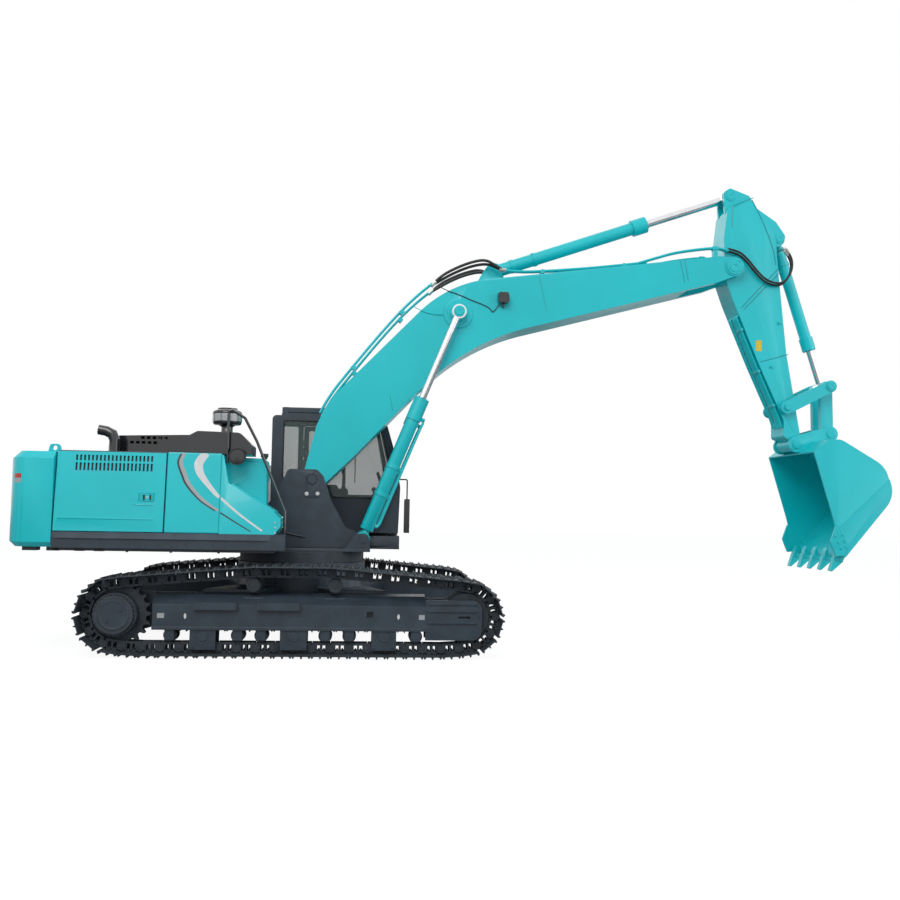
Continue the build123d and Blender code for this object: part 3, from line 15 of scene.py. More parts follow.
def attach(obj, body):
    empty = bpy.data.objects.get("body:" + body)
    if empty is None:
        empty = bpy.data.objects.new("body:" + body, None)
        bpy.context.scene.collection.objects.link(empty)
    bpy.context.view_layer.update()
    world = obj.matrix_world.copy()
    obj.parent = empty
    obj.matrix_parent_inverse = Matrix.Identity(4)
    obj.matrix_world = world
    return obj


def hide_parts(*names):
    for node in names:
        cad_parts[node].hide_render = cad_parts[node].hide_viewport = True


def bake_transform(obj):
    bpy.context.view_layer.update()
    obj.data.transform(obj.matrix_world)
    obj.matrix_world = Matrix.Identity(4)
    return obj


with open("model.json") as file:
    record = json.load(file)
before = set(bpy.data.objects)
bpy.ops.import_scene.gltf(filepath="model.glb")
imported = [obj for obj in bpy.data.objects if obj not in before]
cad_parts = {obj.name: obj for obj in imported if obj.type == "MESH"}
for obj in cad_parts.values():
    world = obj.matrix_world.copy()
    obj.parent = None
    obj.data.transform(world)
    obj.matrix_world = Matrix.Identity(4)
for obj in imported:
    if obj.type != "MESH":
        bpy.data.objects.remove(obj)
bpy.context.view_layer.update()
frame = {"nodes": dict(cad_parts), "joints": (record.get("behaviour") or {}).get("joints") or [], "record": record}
NODES = frame["nodes"]
BODY_OF = {n: body for body, members in frame["record"]["behaviour"]["bodies"].items() for n in members}
PINS = {joint["name"]: Vector(joint["pos_m"]) for joint in frame["joints"] if "pos_m" in joint}
SWING = PINS["swing"]
SIDES = {"right": -1, "left": 1}


def at(x, y, z):
    """A place by its distance ahead of the swing axis, its y and its height."""
    return Vector((SWING.x + x, y, z))


# ---------------------------------------------------------------- making pieces


def placed(name, data):
    """A new object in the scene that holds some data."""
    made = bpy.data.objects.new(name, data)
    bpy.context.scene.collection.objects.link(made)
    return made


def finish(name, bm, body, material, bevel=0.0, segments=2, smooth=35, slot=None, outward=True):
    """Turn a bmesh into a piece with its finish and rounded edges, riding on a body unless that is None."""
    mesh = bpy.data.meshes.new(name)
    if outward:
        bmesh.ops.recalc_face_normals(bm, faces=bm.faces)
    bm.to_mesh(mesh)
    bm.free()
    mesh.materials.append(material)
    mesh.shade_smooth()
    mesh.set_sharp_from_angle(angle=radians(smooth))
    piece = placed(name, mesh)
    if bevel:
        edge = piece.modifiers.new("edges", "BEVEL")
        edge.width = bevel
        edge.segments = segments
        edge.limit_method = "ANGLE"
        edge.angle_limit = radians(smooth)
        edge.harden_normals = True
    if body:
        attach(piece, body)
    slot = slot or SLOT_OF.get(material.name)
    return piece


def dress(node, material, bevel, slot=None):
    """A copy of a CAD node with rounded edges and a finish, in the node's place."""
    bm = bmesh.new()
    bm.from_mesh(NODES[node].data)
    bmesh.ops.remove_doubles(bm, verts=bm.verts, dist=0.00002)
    bmesh.ops.dissolve_limit(bm, angle_limit=radians(1), verts=bm.verts, edges=bm.edges)
    name = node + "_dressed"
    piece = finish(name, bm, BODY_OF[node], material, bevel, smooth=32, slot=slot, outward=False)
    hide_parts(node)


def add_box(bm, low, high, turn=None, about=None):
    """A box between two corners, turned about a point where a matrix is given."""
    low, high = Vector(low), Vector(high)
    made = bmesh.ops.create_cube(bm, size=1)["verts"]
    bmesh.ops.scale(bm, verts=made, vec=high - low)
    bmesh.ops.translate(bm, verts=made, vec=(low + high) / 2)
    if turn:
        bmesh.ops.rotate(bm, verts=made, cent=about or (low + high) / 2, matrix=turn)
    return made


def add_round(bm, start, end, radius, segments=24):
    """A closed round bar between two points."""
    start, end = Vector(start), Vector(end)
    along = end - start
    size = {"radius1": radius, "radius2": radius, "depth": along.length}
    made = bmesh.ops.create_cone(bm, cap_ends=True, segments=segments, **size)["verts"]
    turn = Vector((0, 0, 1)).rotation_difference(along).to_matrix()
    bmesh.ops.rotate(bm, verts=made, cent=(0, 0, 0), matrix=turn)
    bmesh.ops.translate(bm, verts=made, vec=(start + end) / 2)
    return made


def add_plate(bm, corners, depth):
    """A plate from a loop of corners, given its thickness along a vector."""
    verts = [bm.verts.new(corner) for corner in corners]
    face = bm.faces.new(verts)
    made = bmesh.ops.extrude_face_region(bm, geom=[face], use_keep_orig=True)["geom"]
    top = [part for part in made if isinstance(part, bmesh.types.BMVert)]
    bmesh.ops.translate(bm, verts=top, vec=depth)
    return verts + top


def add_side_plate(bm, rows, low, high):
    """A plate with an (x, z) outline between two y values."""
    add_plate(bm, [at(x, low, z) for x, z in rows], (0, high - low, 0))


def add_bolt(bm, place, way, size=0.012, depth=0.01, washer=True):
    """A six-sided bolt head on its washer, standing out along a way."""
    place, way = Vector(place), Vector(way).normalized()
    if washer:
        add_round(bm, place - way * 0.002, place + way * 0.003, size * 1.35, 12)
    add_round(bm, place, place + way * (depth + 0.003), size, 6)


def add_tube(bm, points, radius, sides=10):
    """A round tube swept smoothly through a few points."""
    curve = bpy.data.curves.new("route", "CURVE")
    curve.dimensions = "3D"
    line = curve.splines.new("NURBS")
    line.points.add(len(points) - 1)
    for knot, point in zip(line.points, points):
        knot.co = (*point, 1)
    line.order_u = 3
    line.use_endpoint_u = True
    line.resolution_u = 6
    curve.bevel_depth = radius
    curve.bevel_resolution = max(sides // 4, 1)
    curve.use_fill_caps = True
    holder = bpy.data.objects.new("route", curve)
    mesh = bpy.data.meshes.new_from_object(holder)
    bm.from_mesh(mesh)
    bpy.data.objects.remove(holder)
    bpy.data.curves.remove(curve)
    bpy.data.meshes.remove(mesh)


def run(bm, points, y, radius, sides=10):
    """A pipe through (x, z) points at one y."""
    add_tube(bm, [at(x, y, z) for x, z in points], radius, sides)


def lathe(bm, rows, centre, axis=(0, 1, 0), segments=32):
    """A turned piece: (distance along the axis, radius) rows spun about an axis."""
    axis = Vector(axis).normalized()
    across = axis.orthogonal().normalized()
    centre = Vector(centre)
    verts = [bm.verts.new(centre + axis * along + across * max(radius, 1e-5)) for along, radius in rows]
    edges = [bm.edges.new(pair) for pair in zip(verts, verts[1:])]
    turn = {"cent": centre, "axis": axis, "angle": 2 * pi, "steps": segments}
    bmesh.ops.spin(bm, geom=verts + edges, use_merge=True, **turn)
    bmesh.ops.remove_doubles(bm, verts=bm.verts, dist=0.00003)


# ---------------------------------------------------------------- shader maths


class Value:
    """A shader socket that sums and products can be written with."""

    def __init__(self, graph, socket):
        self.graph = graph
        self.socket = socket

    def math(self, operation, *terms):
        return self.graph.value("Math", dict(enumerate(terms)), operation=operation)

    def __add__(self, other):
        return self.math("ADD", self, other)

    __radd__ = __add__

    def __sub__(self, other):
        return self.math("SUBTRACT", self, other)

    def __rsub__(self, other):
        return self.math("SUBTRACT", other, self)

    def __mul__(self, other):
        return self.math("MULTIPLY", self, other)

    __rmul__ = __mul__

    def ramp(self, low, high):
        """0 below low and 1 above high, smooth between."""
        inputs = {"Value": self, "From Min": low, "From Max": high}
        return self.graph.value("MapRange", inputs, interpolation_type="SMOOTHSTEP")


class Graph:
    """One material's nodes, starting from its shader."""

    def __init__(self, name):
        self.material = bpy.data.materials.new(name)
        self.material.use_nodes = True
        self.tree = self.material.node_tree
        self.shader = self.tree.nodes["Principled BSDF"]
        self.place = self.value("TexCoord", output="Object")

    def node(self, kind, inputs=None, **settings):
        made = self.tree.nodes.new("ShaderNode" + kind)
        for name, setting in settings.items():
            setattr(made, name, setting)
        for name, given in (inputs or {}).items():
            self.feed(made.inputs[name], given)
        return made

    def value(self, kind, inputs=None, output=0, **settings):
        return Value(self, self.node(kind, inputs, **settings).outputs[output])

    def feed(self, socket, given):
        if isinstance(given, Value):
            self.tree.links.new(given.socket, socket)
        else:
            socket.default_value = given

    def set(self, **inputs):
        for name, given in inputs.items():
            self.feed(self.shader.inputs[name.replace("_", " ").title()], given)

    def noise(self, scale, detail=4, roughness=0.55):
        """Smooth noise from 0 to 1, scale in features a metre."""
        inputs = {"Vector": self.place, "Scale": scale, "Detail": detail, "Roughness": roughness}
        return self.value("TexNoise", inputs, noise_dimensions="3D")

    def blend(self, factor, first, second):
        """A colour between two, by a factor."""
        made = self.node("Mix", data_type="RGBA")
        self.feed(made.inputs[0], factor)
        for socket, colour in ((made.inputs[6], first), (made.inputs[7], second)):
            self.feed(socket, colour if isinstance(colour, Value) else (*colour, 1))
        return Value(self, made.outputs[2])

    def bump(self, height, strength, distance=0.001):
        inputs = {"Height": height, "Strength": strength, "Distance": distance}
        self.set(normal=self.value("Bump", inputs))

    def part(self, name):
        """One of the place's x, y and z."""
        return self.value("SeparateXYZ", {"Vector": self.place}, output=name)


def shade(colour, factor):
    """A colour made lighter or darker."""
    return tuple(min(part * factor, 1) for part in colour)


# ---------------------------------------------------------------- finishes


def gloss_paint(name, colour, roughness=0.36, coat=0.18, dust=0.035):
    """Sprayed enamel: faint orange peel, uneven gloss, and a film of dust low down."""
    g = Graph(name)
    broad = g.noise(0.9, 3)
    cloudy = g.noise(7, 5)
    tone = g.blend(broad.ramp(0.3, 0.7), shade(colour, 0.95), shade(colour, 1.04))
    film = cloudy.ramp(0.45, 0.8) * dust
    low = 1 - g.part("Z").ramp(0.2, 2.2)
    g.set(base_color=g.blend(film * (0.35 + low * 0.65), tone, (0.35, 0.34, 0.32)))
    g.set(roughness=roughness + (cloudy - 0.5) * 0.16 + film * 0.5)
    g.set(coat_weight=coat, coat_roughness=0.08)
    g.bump(g.noise(260, 2) * 0.8 + g.noise(18, 2) * 0.2, 0.04, 0.0005)
    return g.material


def satin_paint(name, colour, roughness=0.42):
    """Dark chassis paint with dust in patches and paler rubbed spots."""
    g = Graph(name)
    cloudy = g.noise(5, 6)
    fine = g.noise(48, 5, 0.7)
    tone = g.blend(cloudy.ramp(0.3, 0.72), shade(colour, 0.85), shade(colour, 1.22))
    rubbed = (cloudy * 0.5 + fine * 0.5).ramp(0.58, 0.74) * 0.35
    g.set(base_color=g.blend(rubbed, tone, shade(colour, 2.1)))
    g.set(roughness=roughness + (fine - 0.5) * 0.3 + rubbed * 0.3)
    g.bump(g.noise(150, 3) * 0.7 + fine * 0.3, 0.14, 0.001)
    return g.material


def cast_steel(name, colour, rub):
    """Cast track steel: grainy, with pale rubbed marks and a little soil."""
    g = Graph(name)
    cloudy = g.noise(6, 6, 0.62)
    grain = g.noise(120, 6, 0.7)
    tone = g.blend(cloudy.ramp(0.3, 0.7), shade(colour, 0.8), shade(colour, 1.3))
    soil = g.noise(11, 6, 0.7).ramp(0.6, 0.78) * 0.3
    tone = g.blend(soil, tone, (0.16, 0.14, 0.12))
    rubbed = (grain * 0.6 + cloudy * 0.4).ramp(0.56, 0.72) * rub
    g.set(base_color=g.blend(rubbed, tone, shade(colour, 2.6)))
    g.set(metallic=0.15 + rubbed * 0.5, roughness=0.62 - rubbed * 0.25 + soil * 0.3)
    g.bump(grain * 0.7 + g.noise(420, 2) * 0.3, 0.3, 0.0015)
    return g.material


def bright_metal(name, colour, roughness):
    """Bare or plated metal with a fine grain."""
    g = Graph(name)
    fine = g.noise(180, 3, 0.6)
    cloudy = g.noise(9, 3)
    g.set(base_color=g.blend(cloudy.ramp(0.3, 0.7), shade(colour, 0.9), colour))
    g.set(metallic=1.0, roughness=roughness + (fine - 0.5) * 0.12 + (cloudy - 0.5) * 0.05)
    g.bump(fine, 0.05, 0.0005)
    return g.material


def rubber(name, colour):
    """Hose and seal rubber, with a faint bloom."""
    g = Graph(name)
    cloudy = g.noise(22, 4)
    g.set(base_color=g.blend(cloudy.ramp(0.4, 0.8) * 0.4, colour, shade(colour, 3)))
    g.set(roughness=0.55 + (cloudy - 0.5) * 0.25)
    g.bump(g.noise(300, 3), 0.16, 0.0006)
    return g.material


def plastic(name, colour):
    """Moulded plastic with a fine grain."""
    g = Graph(name)
    grain = g.noise(500, 2)
    cloudy = g.noise(8, 3)
    g.set(base_color=g.blend(cloudy.ramp(0.3, 0.7), shade(colour, 0.88), shade(colour, 1.12)))
    g.set(roughness=0.45 + (cloudy - 0.5) * 0.12)
    g.bump(grain, 0.12, 0.0004)
    return g.material


def tinted_glass(name, colour, alpha):
    """A tinted pane with a film of dust in its corners."""
    g = Graph(name)
    film = g.noise(3, 4).ramp(0.4, 0.9)
    g.set(base_color=g.blend(film * 0.3, colour, shade(colour, 1.6)))
    g.set(roughness=0.03 + film * 0.05, alpha=alpha + film * 0.05)
    g.shader.inputs["IOR"].default_value = 1.5
    g.set(coat_weight=0.6, coat_roughness=0.02)
    return g.material


def woven(name, colour):
    """Seat cloth: crossed threads with a soft sheen."""
    g = Graph(name)
    across = g.part("Y") * 1400
    along = (g.part("X") + g.part("Z")) * 1400
    weave = across.math("SINE", across) * along.math("SINE", along)
    cloudy = g.noise(12, 4)
    tone = g.blend(cloudy.ramp(0.3, 0.7), shade(colour, 0.8), shade(colour, 1.3))
    g.set(base_color=g.blend(weave.ramp(-1, 1) * 0.4, tone, shade(colour, 2.2)))
    g.set(roughness=0.85 + (cloudy - 0.5) * 0.1, sheen_weight=0.3)
    g.bump(weave * 0.5 + g.noise(90, 4) * 0.5, 0.4, 0.0008)
    return g.material


def sign_face(name, colour, roughness=0.35):
    """A blank coloured plate or film, faintly weathered."""
    g = Graph(name)
    cloudy = g.noise(14, 4)
    g.set(base_color=g.blend(cloudy.ramp(0.35, 0.75), shade(colour, 0.93), colour))
    g.set(roughness=roughness + (cloudy - 0.5) * 0.2)
    g.bump(g.noise(200, 2), 0.04, 0.0004)
    return g.material


TEAL_TONE = (0.0, 0.575, 0.625)
TEAL = gloss_paint("teal_enamel", TEAL_TONE)
DARK = satin_paint("slate_paint", (0.03, 0.045, 0.062))
BLACK = gloss_paint("black_enamel", (0.012, 0.013, 0.016), 0.16, 0.6, 0.06)
TRACK = cast_steel("track_steel", (0.034, 0.043, 0.052), 0.4)
IRON = cast_steel("engine_iron", (0.09, 0.09, 0.09), 0.3)
CHROME = bright_metal("chrome", (0.83, 0.84, 0.86), 0.12)
ZINC = bright_metal("zinc_plate", (0.62, 0.62, 0.6), 0.34)
RUBBER = rubber("hose_rubber", (0.012, 0.012, 0.013))
PLASTIC = plastic("black_plastic", (0.016, 0.017, 0.019))
GREY_PLASTIC = plastic("grey_plastic", (0.09, 0.09, 0.095))
GLASS = tinted_glass("cab_pane", (0.1, 0.16, 0.15), 0.3)
LENS = tinted_glass("lamp_lens", (0.75, 0.78, 0.8), 0.55)
CLOTH = woven("seat_cloth", (0.035, 0.036, 0.042))
WHITE = sign_face("white_film", (0.78, 0.79, 0.79))
SILVER = sign_face("silver_film", (0.42, 0.44, 0.45))
YELLOW = sign_face("yellow_film", (0.82, 0.55, 0.03))
STRIPE_DARK = sign_face("dark_film", (0.035, 0.045, 0.055))
# Teal darkened to 0.55 for weld beads and ridges: painted shade along them, as they carry the same teal paint.
SEAM_SHADE = gloss_paint("seam_painted_shade", shade(TEAL_TONE, 0.55))
# The dark paint made lighter: a painted highlight along the skirt's pressed top edge, which is the same dark paint
# as the skirt.
SLATE_HIGHLIGHT = satin_paint("skirt_painted_highlight", (0.06, 0.082, 0.105), 0.36)
SCREEN = sign_face("screen", (0.02, 0.022, 0.025), 0.12)
CLEAR = tinted_glass("clear_bowl", (0.72, 0.75, 0.76), 0.55)
RED = sign_face("red_reflector", (0.55, 0.02, 0.015), 0.15)
SLOTS = {
    "teal": [TEAL, SEAM_SHADE],
    "dark": [DARK, SLATE_HIGHLIGHT],
    "track_steel": [TRACK],
    "black_metal": [BLACK],
    "engine_iron": [IRON],
    "glass": [LENS, CLEAR],
    "seat_fabric": [CLOTH],
    "black_plastic": [PLASTIC, GREY_PLASTIC],
}
SLOT_OF = {material.name: slot for slot, group in SLOTS.items() for material in group}

# ---------------------------------------------------------------- the CAD's own forms

# node: finish, width of the rounded edges, and the slot where it isn't the finish's own
DRESSED = {
    "track_frame_right": (DARK, 0.006),
    "track_frame_left": (DARK, 0.006),
    "sprocket_right": (TRACK, 0.005),
    "sprocket_left": (TRACK, 0.005),
    "idler_right": (TRACK, 0.005),
    "idler_left": (TRACK, 0.005),
    "rollers_right": (TRACK, 0.006),
    "rollers_left": (TRACK, 0.006),
    "carbody": (DARK, 0.008),
    "swing_bearing": (TRACK, 0.006),
    "main_frame": (DARK, 0.005),
    "counterweight": (TEAL, 0.018),
    "engine_bay": (DARK, 0.004),
    "engine_block": (IRON, 0.02),
    "tank": (TEAL, 0.016),
    "toolbox": (TEAL, 0.016),
    "side_locker": (TEAL, 0.016),
    "hydraulic_tank": (DARK, 0.01),
    "side_door_right": (TEAL, 0.004),
    "side_door_left": (TEAL, 0.004),
    "hood": (BLACK, 0.02),
    "exhaust_pipe": (BLACK, 0.002),
    "air_cleaner": (BLACK, 0.03),
    "cab_shell": (DARK, 0.012),
    "cab_door": (DARK, 0.006),
    "roof_guard": (DARK, 0.006),
    "cab_console": (PLASTIC, 0.012),
    "handrail_right": (BLACK, 0.0),
    "mirror_left": (BLACK, 0.004),
    "boom": (TEAL, 0.006),
    "boom_barrels": (TEAL, 0.005),
    "arm": (TEAL, 0.006),
    "arm_barrel": (TEAL, 0.005),
    "idler_links": (TEAL, 0.006),
    "power_link": (TEAL, 0.006),
    "bucket_barrel": (TEAL, 0.005),
    "bucket": (TEAL, 0.005),
    "bucket_teeth": (TEAL, 0.006),
    "boom_lamp": (BLACK, 0.02, "black_plastic"),
}
for node, look in DRESSED.items():
    dress(node, *look)
KEPT = {CHROME: ("boom_rods", "arm_rod", "bucket_rod"), GLASS: ("cab_glass", "door_glass")}
for material, nodes in KEPT.items():
    for node in nodes:
        NODES[node].data.materials.clear()
        NODES[node].data.materials.append(material)

# ---------------------------------------------------------------- tracks

LINK_PITCH = 0.216
WRAP_RADIUS = LINK_PITCH / (2 * sin(2 * pi / 21))
SPROCKET = (-2.03, 0.48)
IDLER = (2.02, 0.48)
RUNS = {
    "ground rear": (-1.738, 0.095),
    "ground front": (1.738, 0.095),
    "top front": (0.475, 0.985),
    "top rear": (-0.475, 0.985),
}
TRACK_MIDDLE = 1.3
PLATE_OUT = 0.067
# half of a shoe's section: along the link, height over the plate
SHOE_HALF = [
    (-0.108, -0.013),
    (-0.108, 0.001),
    (-0.0985, 0.022),
    (-0.0875, 0.023),
    (-0.078, 0.003),
    (-0.07, 0.0),
    (-0.017, 0.0),
    (-0.011, 0.003),
    (-0.006, 0.0275),
]
SHOE_ROWS = SHOE_HALF + [(-along, out) for along, out in reversed(SHOE_HALF)]


def wrap_points(centre, radius, entry, leave):
    """Points round a wheel, from the line out of entry to the line into leave."""
    angles = []
    for point, turn in ((entry, 1), (leave, -1)):
        reach = (point[0] - centre[0], point[1] - centre[1])
        angles.append(atan2(reach[1], reach[0]) + turn * acos(radius / hypot(*reach)))
    first, last = angles
    while last < first:
        last += 2 * pi
    steps = round((last - first) / radians(4))
    turns = [first + (last - first) * i / steps for i in range(steps + 1)]
    return [(centre[0] + radius * cos(a), centre[1] + radius * sin(a)) for a in turns]


def pin_places():
    """The chain's pins as (x, z), evenly spaced round the closed path."""
    front = wrap_points(IDLER, WRAP_RADIUS, RUNS["ground front"], RUNS["top front"])
    rear = wrap_points(SPROCKET, WRAP_RADIUS, RUNS["top rear"], RUNS["ground rear"])
    path = [RUNS["ground rear"], RUNS["ground front"], *front]
    path += [RUNS["top front"], RUNS["top rear"], *rear]
    legs = list(zip(path, path[1:] + path[:1]))
    lengths = [hypot(b[0] - a[0], b[1] - a[1]) for a, b in legs]
    count = round(sum(lengths) / LINK_PITCH)
    step = sum(lengths) / count
    pins, leg, travelled = [], 0, 0
    for i in range(count):
        while travelled + lengths[leg] < i * step:
            travelled += lengths[leg]
            leg += 1
        share = (i * step - travelled) / lengths[leg]
        (x0, z0), (x1, z1) = legs[leg]
        pins.append((x0 + share * (x1 - x0), z0 + share * (z1 - z0)))
    return pins


def one_shoe():
    """A triple-grouser shoe with its bolt heads, about its link's middle."""
    bm = bmesh.new()
    corners = [(along, -0.2985, PLATE_OUT + out) for along, out in SHOE_ROWS]
    for vert in add_plate(bm, corners, (0, 0.597, 0)):
        if vert.co.z > PLATE_OUT + 0.01:
            vert.co.y *= 0.965
    for along in (-0.045, 0.045):
        for side in (-0.075, 0.075):
            add_bolt(bm, (along, side, PLATE_OUT), (0, 0, 1), 0.015, 0.011)
    return bm


def one_link():
    """Two side links with their bosses, the bush between them and the pin's ends."""
    bm = bmesh.new()
    for side in (-1, 1):
        low, high = sorted((side * 0.058, side * 0.092))
        for x0, z0, x1, z1 in (
            (-0.106, -0.07, 0.106, -0.04),
            (-0.098, -0.042, -0.05, 0.05),
            (0.05, -0.042, 0.098, 0.05),
            (-0.013, -0.042, 0.013, 0.05),
            (-0.098, 0.034, 0.098, 0.0535),
        ):
            add_box(bm, (x0, low, z0), (x1, high, z1))
        for along, inner, outer in ((-0.1085, 0.048, 0.078), (0.1085, 0.078, 0.101)):
            add_round(bm, (along, side * inner, 0), (along, side * outer, 0), 0.046, 20)
        add_round(bm, (0.1085, side * 0.098, 0), (0.1085, side * 0.106, 0), 0.021, 14)
        for along in (-0.031, 0.031):
            add_round(bm, (along, side * 0.075, 0.012), (along, side * 0.075, 0.036), 0.012, 6)
    add_round(bm, (0.1085, -0.05, 0), (0.1085, 0.05, 0), 0.03, 16)
    return bm


def chain(name, side, template, bevel):
    """A link's piece repeated round the track."""
    model = bpy.data.meshes.new("model")
    template.to_mesh(model)
    template.free()
    pins = pin_places()
    bm = bmesh.new()
    for start, end in zip(pins, pins[1:] + pins[:1]):
        length = hypot(end[0] - start[0], end[1] - start[1])
        ux, uz = (end[0] - start[0]) / length, (end[1] - start[1]) / length
        middle = at((start[0] + end[0]) / 2, side * TRACK_MIDDLE, (start[1] + end[1]) / 2)
        turn = Matrix(((ux, 0, uz), (0, 1, 0), (uz, 0, -ux))).to_4x4()
        first = len(bm.verts)
        bm.from_mesh(model)
        bm.verts.ensure_lookup_table()
        bmesh.ops.transform(bm, matrix=Matrix.Translation(middle) @ turn, verts=bm.verts[first:])
    bpy.data.meshes.remove(model)
    return finish(name, bm, "undercarriage", TRACK, bevel, 2, 25)


for name, side in SIDES.items():
    shoes = chain(f"shoes_{name}", side, one_shoe(), 0.0022)
    chain(f"links_{name}", side, one_link(), 0.0035)
    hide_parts(f"track_{name}")

# ---------------------------------------------------------------- undercarriage trim

# how far out the track frame's face and the rollers' ends stand
FRAME_FACE = 1.459
ROLLER_FACE = 1.424
ROLLER_XS = (-1.41, -1.04, -0.64, -0.37, 0.01, 0.37, 0.65, 1.06, 1.43)
GUARD_XS = (-1.0325, 0.005, 1.055)


def drive_cover(name, side):
    """The final drive's ring of bolts and its raised cover."""
    bm = bmesh.new()
    for i in range(28):
        angle = 2 * pi * i / 28
        x, z = SPROCKET[0] + 0.2345 * cos(angle), SPROCKET[1] + 0.2345 * sin(angle)
        add_bolt(bm, at(x, side * 1.479, z), (0, side, 0), 0.0105, 0.012)
    centre = at(SPROCKET[0], side * 1.529, SPROCKET[1])
    rows = [(0, 0.18), (0.008, 0.174), (0.008, 0.15), (0.005, 0.146), (0.005, 0)]
    lathe(bm, rows, centre, (0, side, 0), 48)
    for angle in (0.6, 3.9):
        spoke = Vector((0.1 * cos(angle), side * 0.005, 0.1 * sin(angle)))
        add_bolt(bm, centre + spoke, (0, side, 0), 0.017)
    finish(f"drive_cover_{name}", bm, "undercarriage", DARK, 0.0012)


def roller_caps(name, side):
    """End caps of the rollers, with the bolts of the guards."""
    bm = bmesh.new()
    for x in ROLLER_XS:
        centre = at(x, side * ROLLER_FACE, 0.245)
        rows = [(0, 0.07), (0.01, 0.067), (0.01, 0.052), (0.005, 0.05)]
        rows += [(0.005, 0.036), (0.014, 0.033), (0.014, 0)]
        lathe(bm, rows, centre, (0, side, 0), 28)
        for angle in (0.5, 2.64):
            rim = Vector((0.058 * cos(angle), side * 0.009, -0.058 * sin(angle)))
            add_bolt(bm, centre + rim, (0, side, 0), 0.007, 0.006, washer=False)
    for x in (-0.475, 0.475):
        centre = at(x, side * ROLLER_FACE, 0.83)
        rows = [(0, 0.08), (0.012, 0.076), (0.012, 0.058), (0.004, 0.054)]
        rows += [(0.004, 0.03), (0.01, 0.027), (0.01, 0)]
        lathe(bm, rows, centre, (0, side, 0), 32)
    finish(f"roller_caps_{name}", bm, "undercarriage", TRACK, 0.0015)


def frame_trim(name, side):
    """Bolts, the roller guards' hubs and the welds on a track frame's outer face."""
    bm = bmesh.new()
    for x in GUARD_XS:
        for dx in (-0.115, 0.115):
            add_bolt(bm, at(x + dx, side * FRAME_FACE, 0.118), (0, side, 0), 0.012)
        rows = [(0, 0.092), (0.004, 0.09), (0.004, 0.08), (0.001, 0.078)]
        rows += [(0.001, 0.062), (0.008, 0.058), (0.008, 0)]
        lathe(bm, rows, at(x, side * 1.4595, 0.238), (0, side, 0), 36)
    for x0, x1 in ((-1.14, -0.65), (-0.42, 0.075)):
        run(bm, [(x0, 0.543), (x1, 0.543)], side * 1.461, 0.005, 8)
    run(bm, [(-1.6, 0.345), (1.52, 0.345)], side * 1.461, 0.0045, 8)
    for x, z in ((1.6, 0.7), (1.6, 0.35), (2.17, 0.61), (2.17, 0.49)):
        add_bolt(bm, at(x, side * FRAME_FACE, z), (0, side, 0), 0.011)
    finish(f"frame_trim_{name}", bm, "undercarriage", DARK, 0.001)


for name, side in SIDES.items():
    drive_cover(name, side)
    roller_caps(name, side)
    frame_trim(name, side)

# how far a film stands off its face, and how far it keeps from the node's edges
FILM_LIFT = 0.0012
EDGE_INSET = 0.004


def laid_film(name, node, strips, material):
    """Thin films on a node's right face: each strip is two edges of matching (x, z) points."""
    mesh = NODES[node].data
    faces = [tuple(face.vertices) for face in mesh.polygons]
    tree = BVHTree.FromPolygons([vert.co for vert in mesh.vertices], faces)
    way = Vector((0, 1, 0))
    xs = [vert.co.x for vert in mesh.vertices]
    zs = [vert.co.z for vert in mesh.vertices]
    bm = bmesh.new()
    for left, right in strips:
        rows = []
        for (x0, z0), (x1, z1) in zip(left, right):
            row = []
            for share in (0, 0.25, 0.5, 0.75, 1):
                start = at(x0 + share * (x1 - x0), 0, z0 + share * (z1 - z0)) - way * 4
                start.x = min(max(start.x, min(xs) + EDGE_INSET), max(xs) - EDGE_INSET)
                start.z = min(max(start.z, min(zs) + EDGE_INSET), max(zs) - EDGE_INSET)
                hit = tree.ray_cast(start, way)
                if hit[0] is None:
                    raise RuntimeError(f"{name}: nothing behind {tuple(start)}")
                row.append(bm.verts.new(hit[0] - way * FILM_LIFT))
            rows.append(row)
        for low, high in zip(rows, rows[1:]):
            for i in range(4):
                bm.faces.new((low[i], low[i + 1], high[i + 1], high[i]))
    made = bmesh.ops.extrude_face_region(bm, geom=bm.faces[:], use_keep_orig=True)["geom"]
    back = [part for part in made if isinstance(part, bmesh.types.BMVert)]
    bmesh.ops.translate(bm, verts=back, vec=way * (FILM_LIFT - 0.0002))
    finish(name, bm, BODY_OF[node], material)


def filled(low, high, steps=4):
    """The two edges of an upright rectangle between two (x, z) corners."""
    heights = [low[1] + (high[1] - low[1]) * i / steps for i in range(steps + 1)]
    return [(low[0], z) for z in heights], [(high[0], z) for z in heights]


def band(points, widths, steps=7):
    """The two edges of a tapering band that follows a smooth line."""
    line = []
    ends = [points[0], *points, points[-1]]
    for i in range(len(points) - 1):
        p0, p1, p2, p3 = (Vector(p) for p in ends[i : i + 4])
        for k in range(steps):
            t = k / steps
            place = 0.5 * (
                2 * p1
                + (p2 - p0) * t
                + (2 * p0 - 5 * p1 + 4 * p2 - p3) * t * t
                + (3 * p1 - p0 - 3 * p2 + p3) * t**3
            )
            line.append((place, (i + t) / (len(points) - 1)))
    line.append((Vector(points[-1]), 1.0))
    left, right = [], []
    for i, (place, share) in enumerate(line):
        way = (line[min(i + 1, len(line) - 1)][0] - line[max(i - 1, 0)][0]).normalized()
        across = Vector((-way.y, way.x))
        spread = share * (len(widths) - 1)
        k = min(int(spread), len(widths) - 2)
        half = (widths[k] + (widths[k + 1] - widths[k]) * (spread - k)) / 2
        left.append(tuple(place + across * half))
        right.append(tuple(place - across * half))
    return left, right


def oval(x, z):
    """The two edges of an upright oval about a point."""
    return band([(x, z - 0.03), (x, z), (x, z + 0.03)], [0.012, 0.034, 0.012], 4)


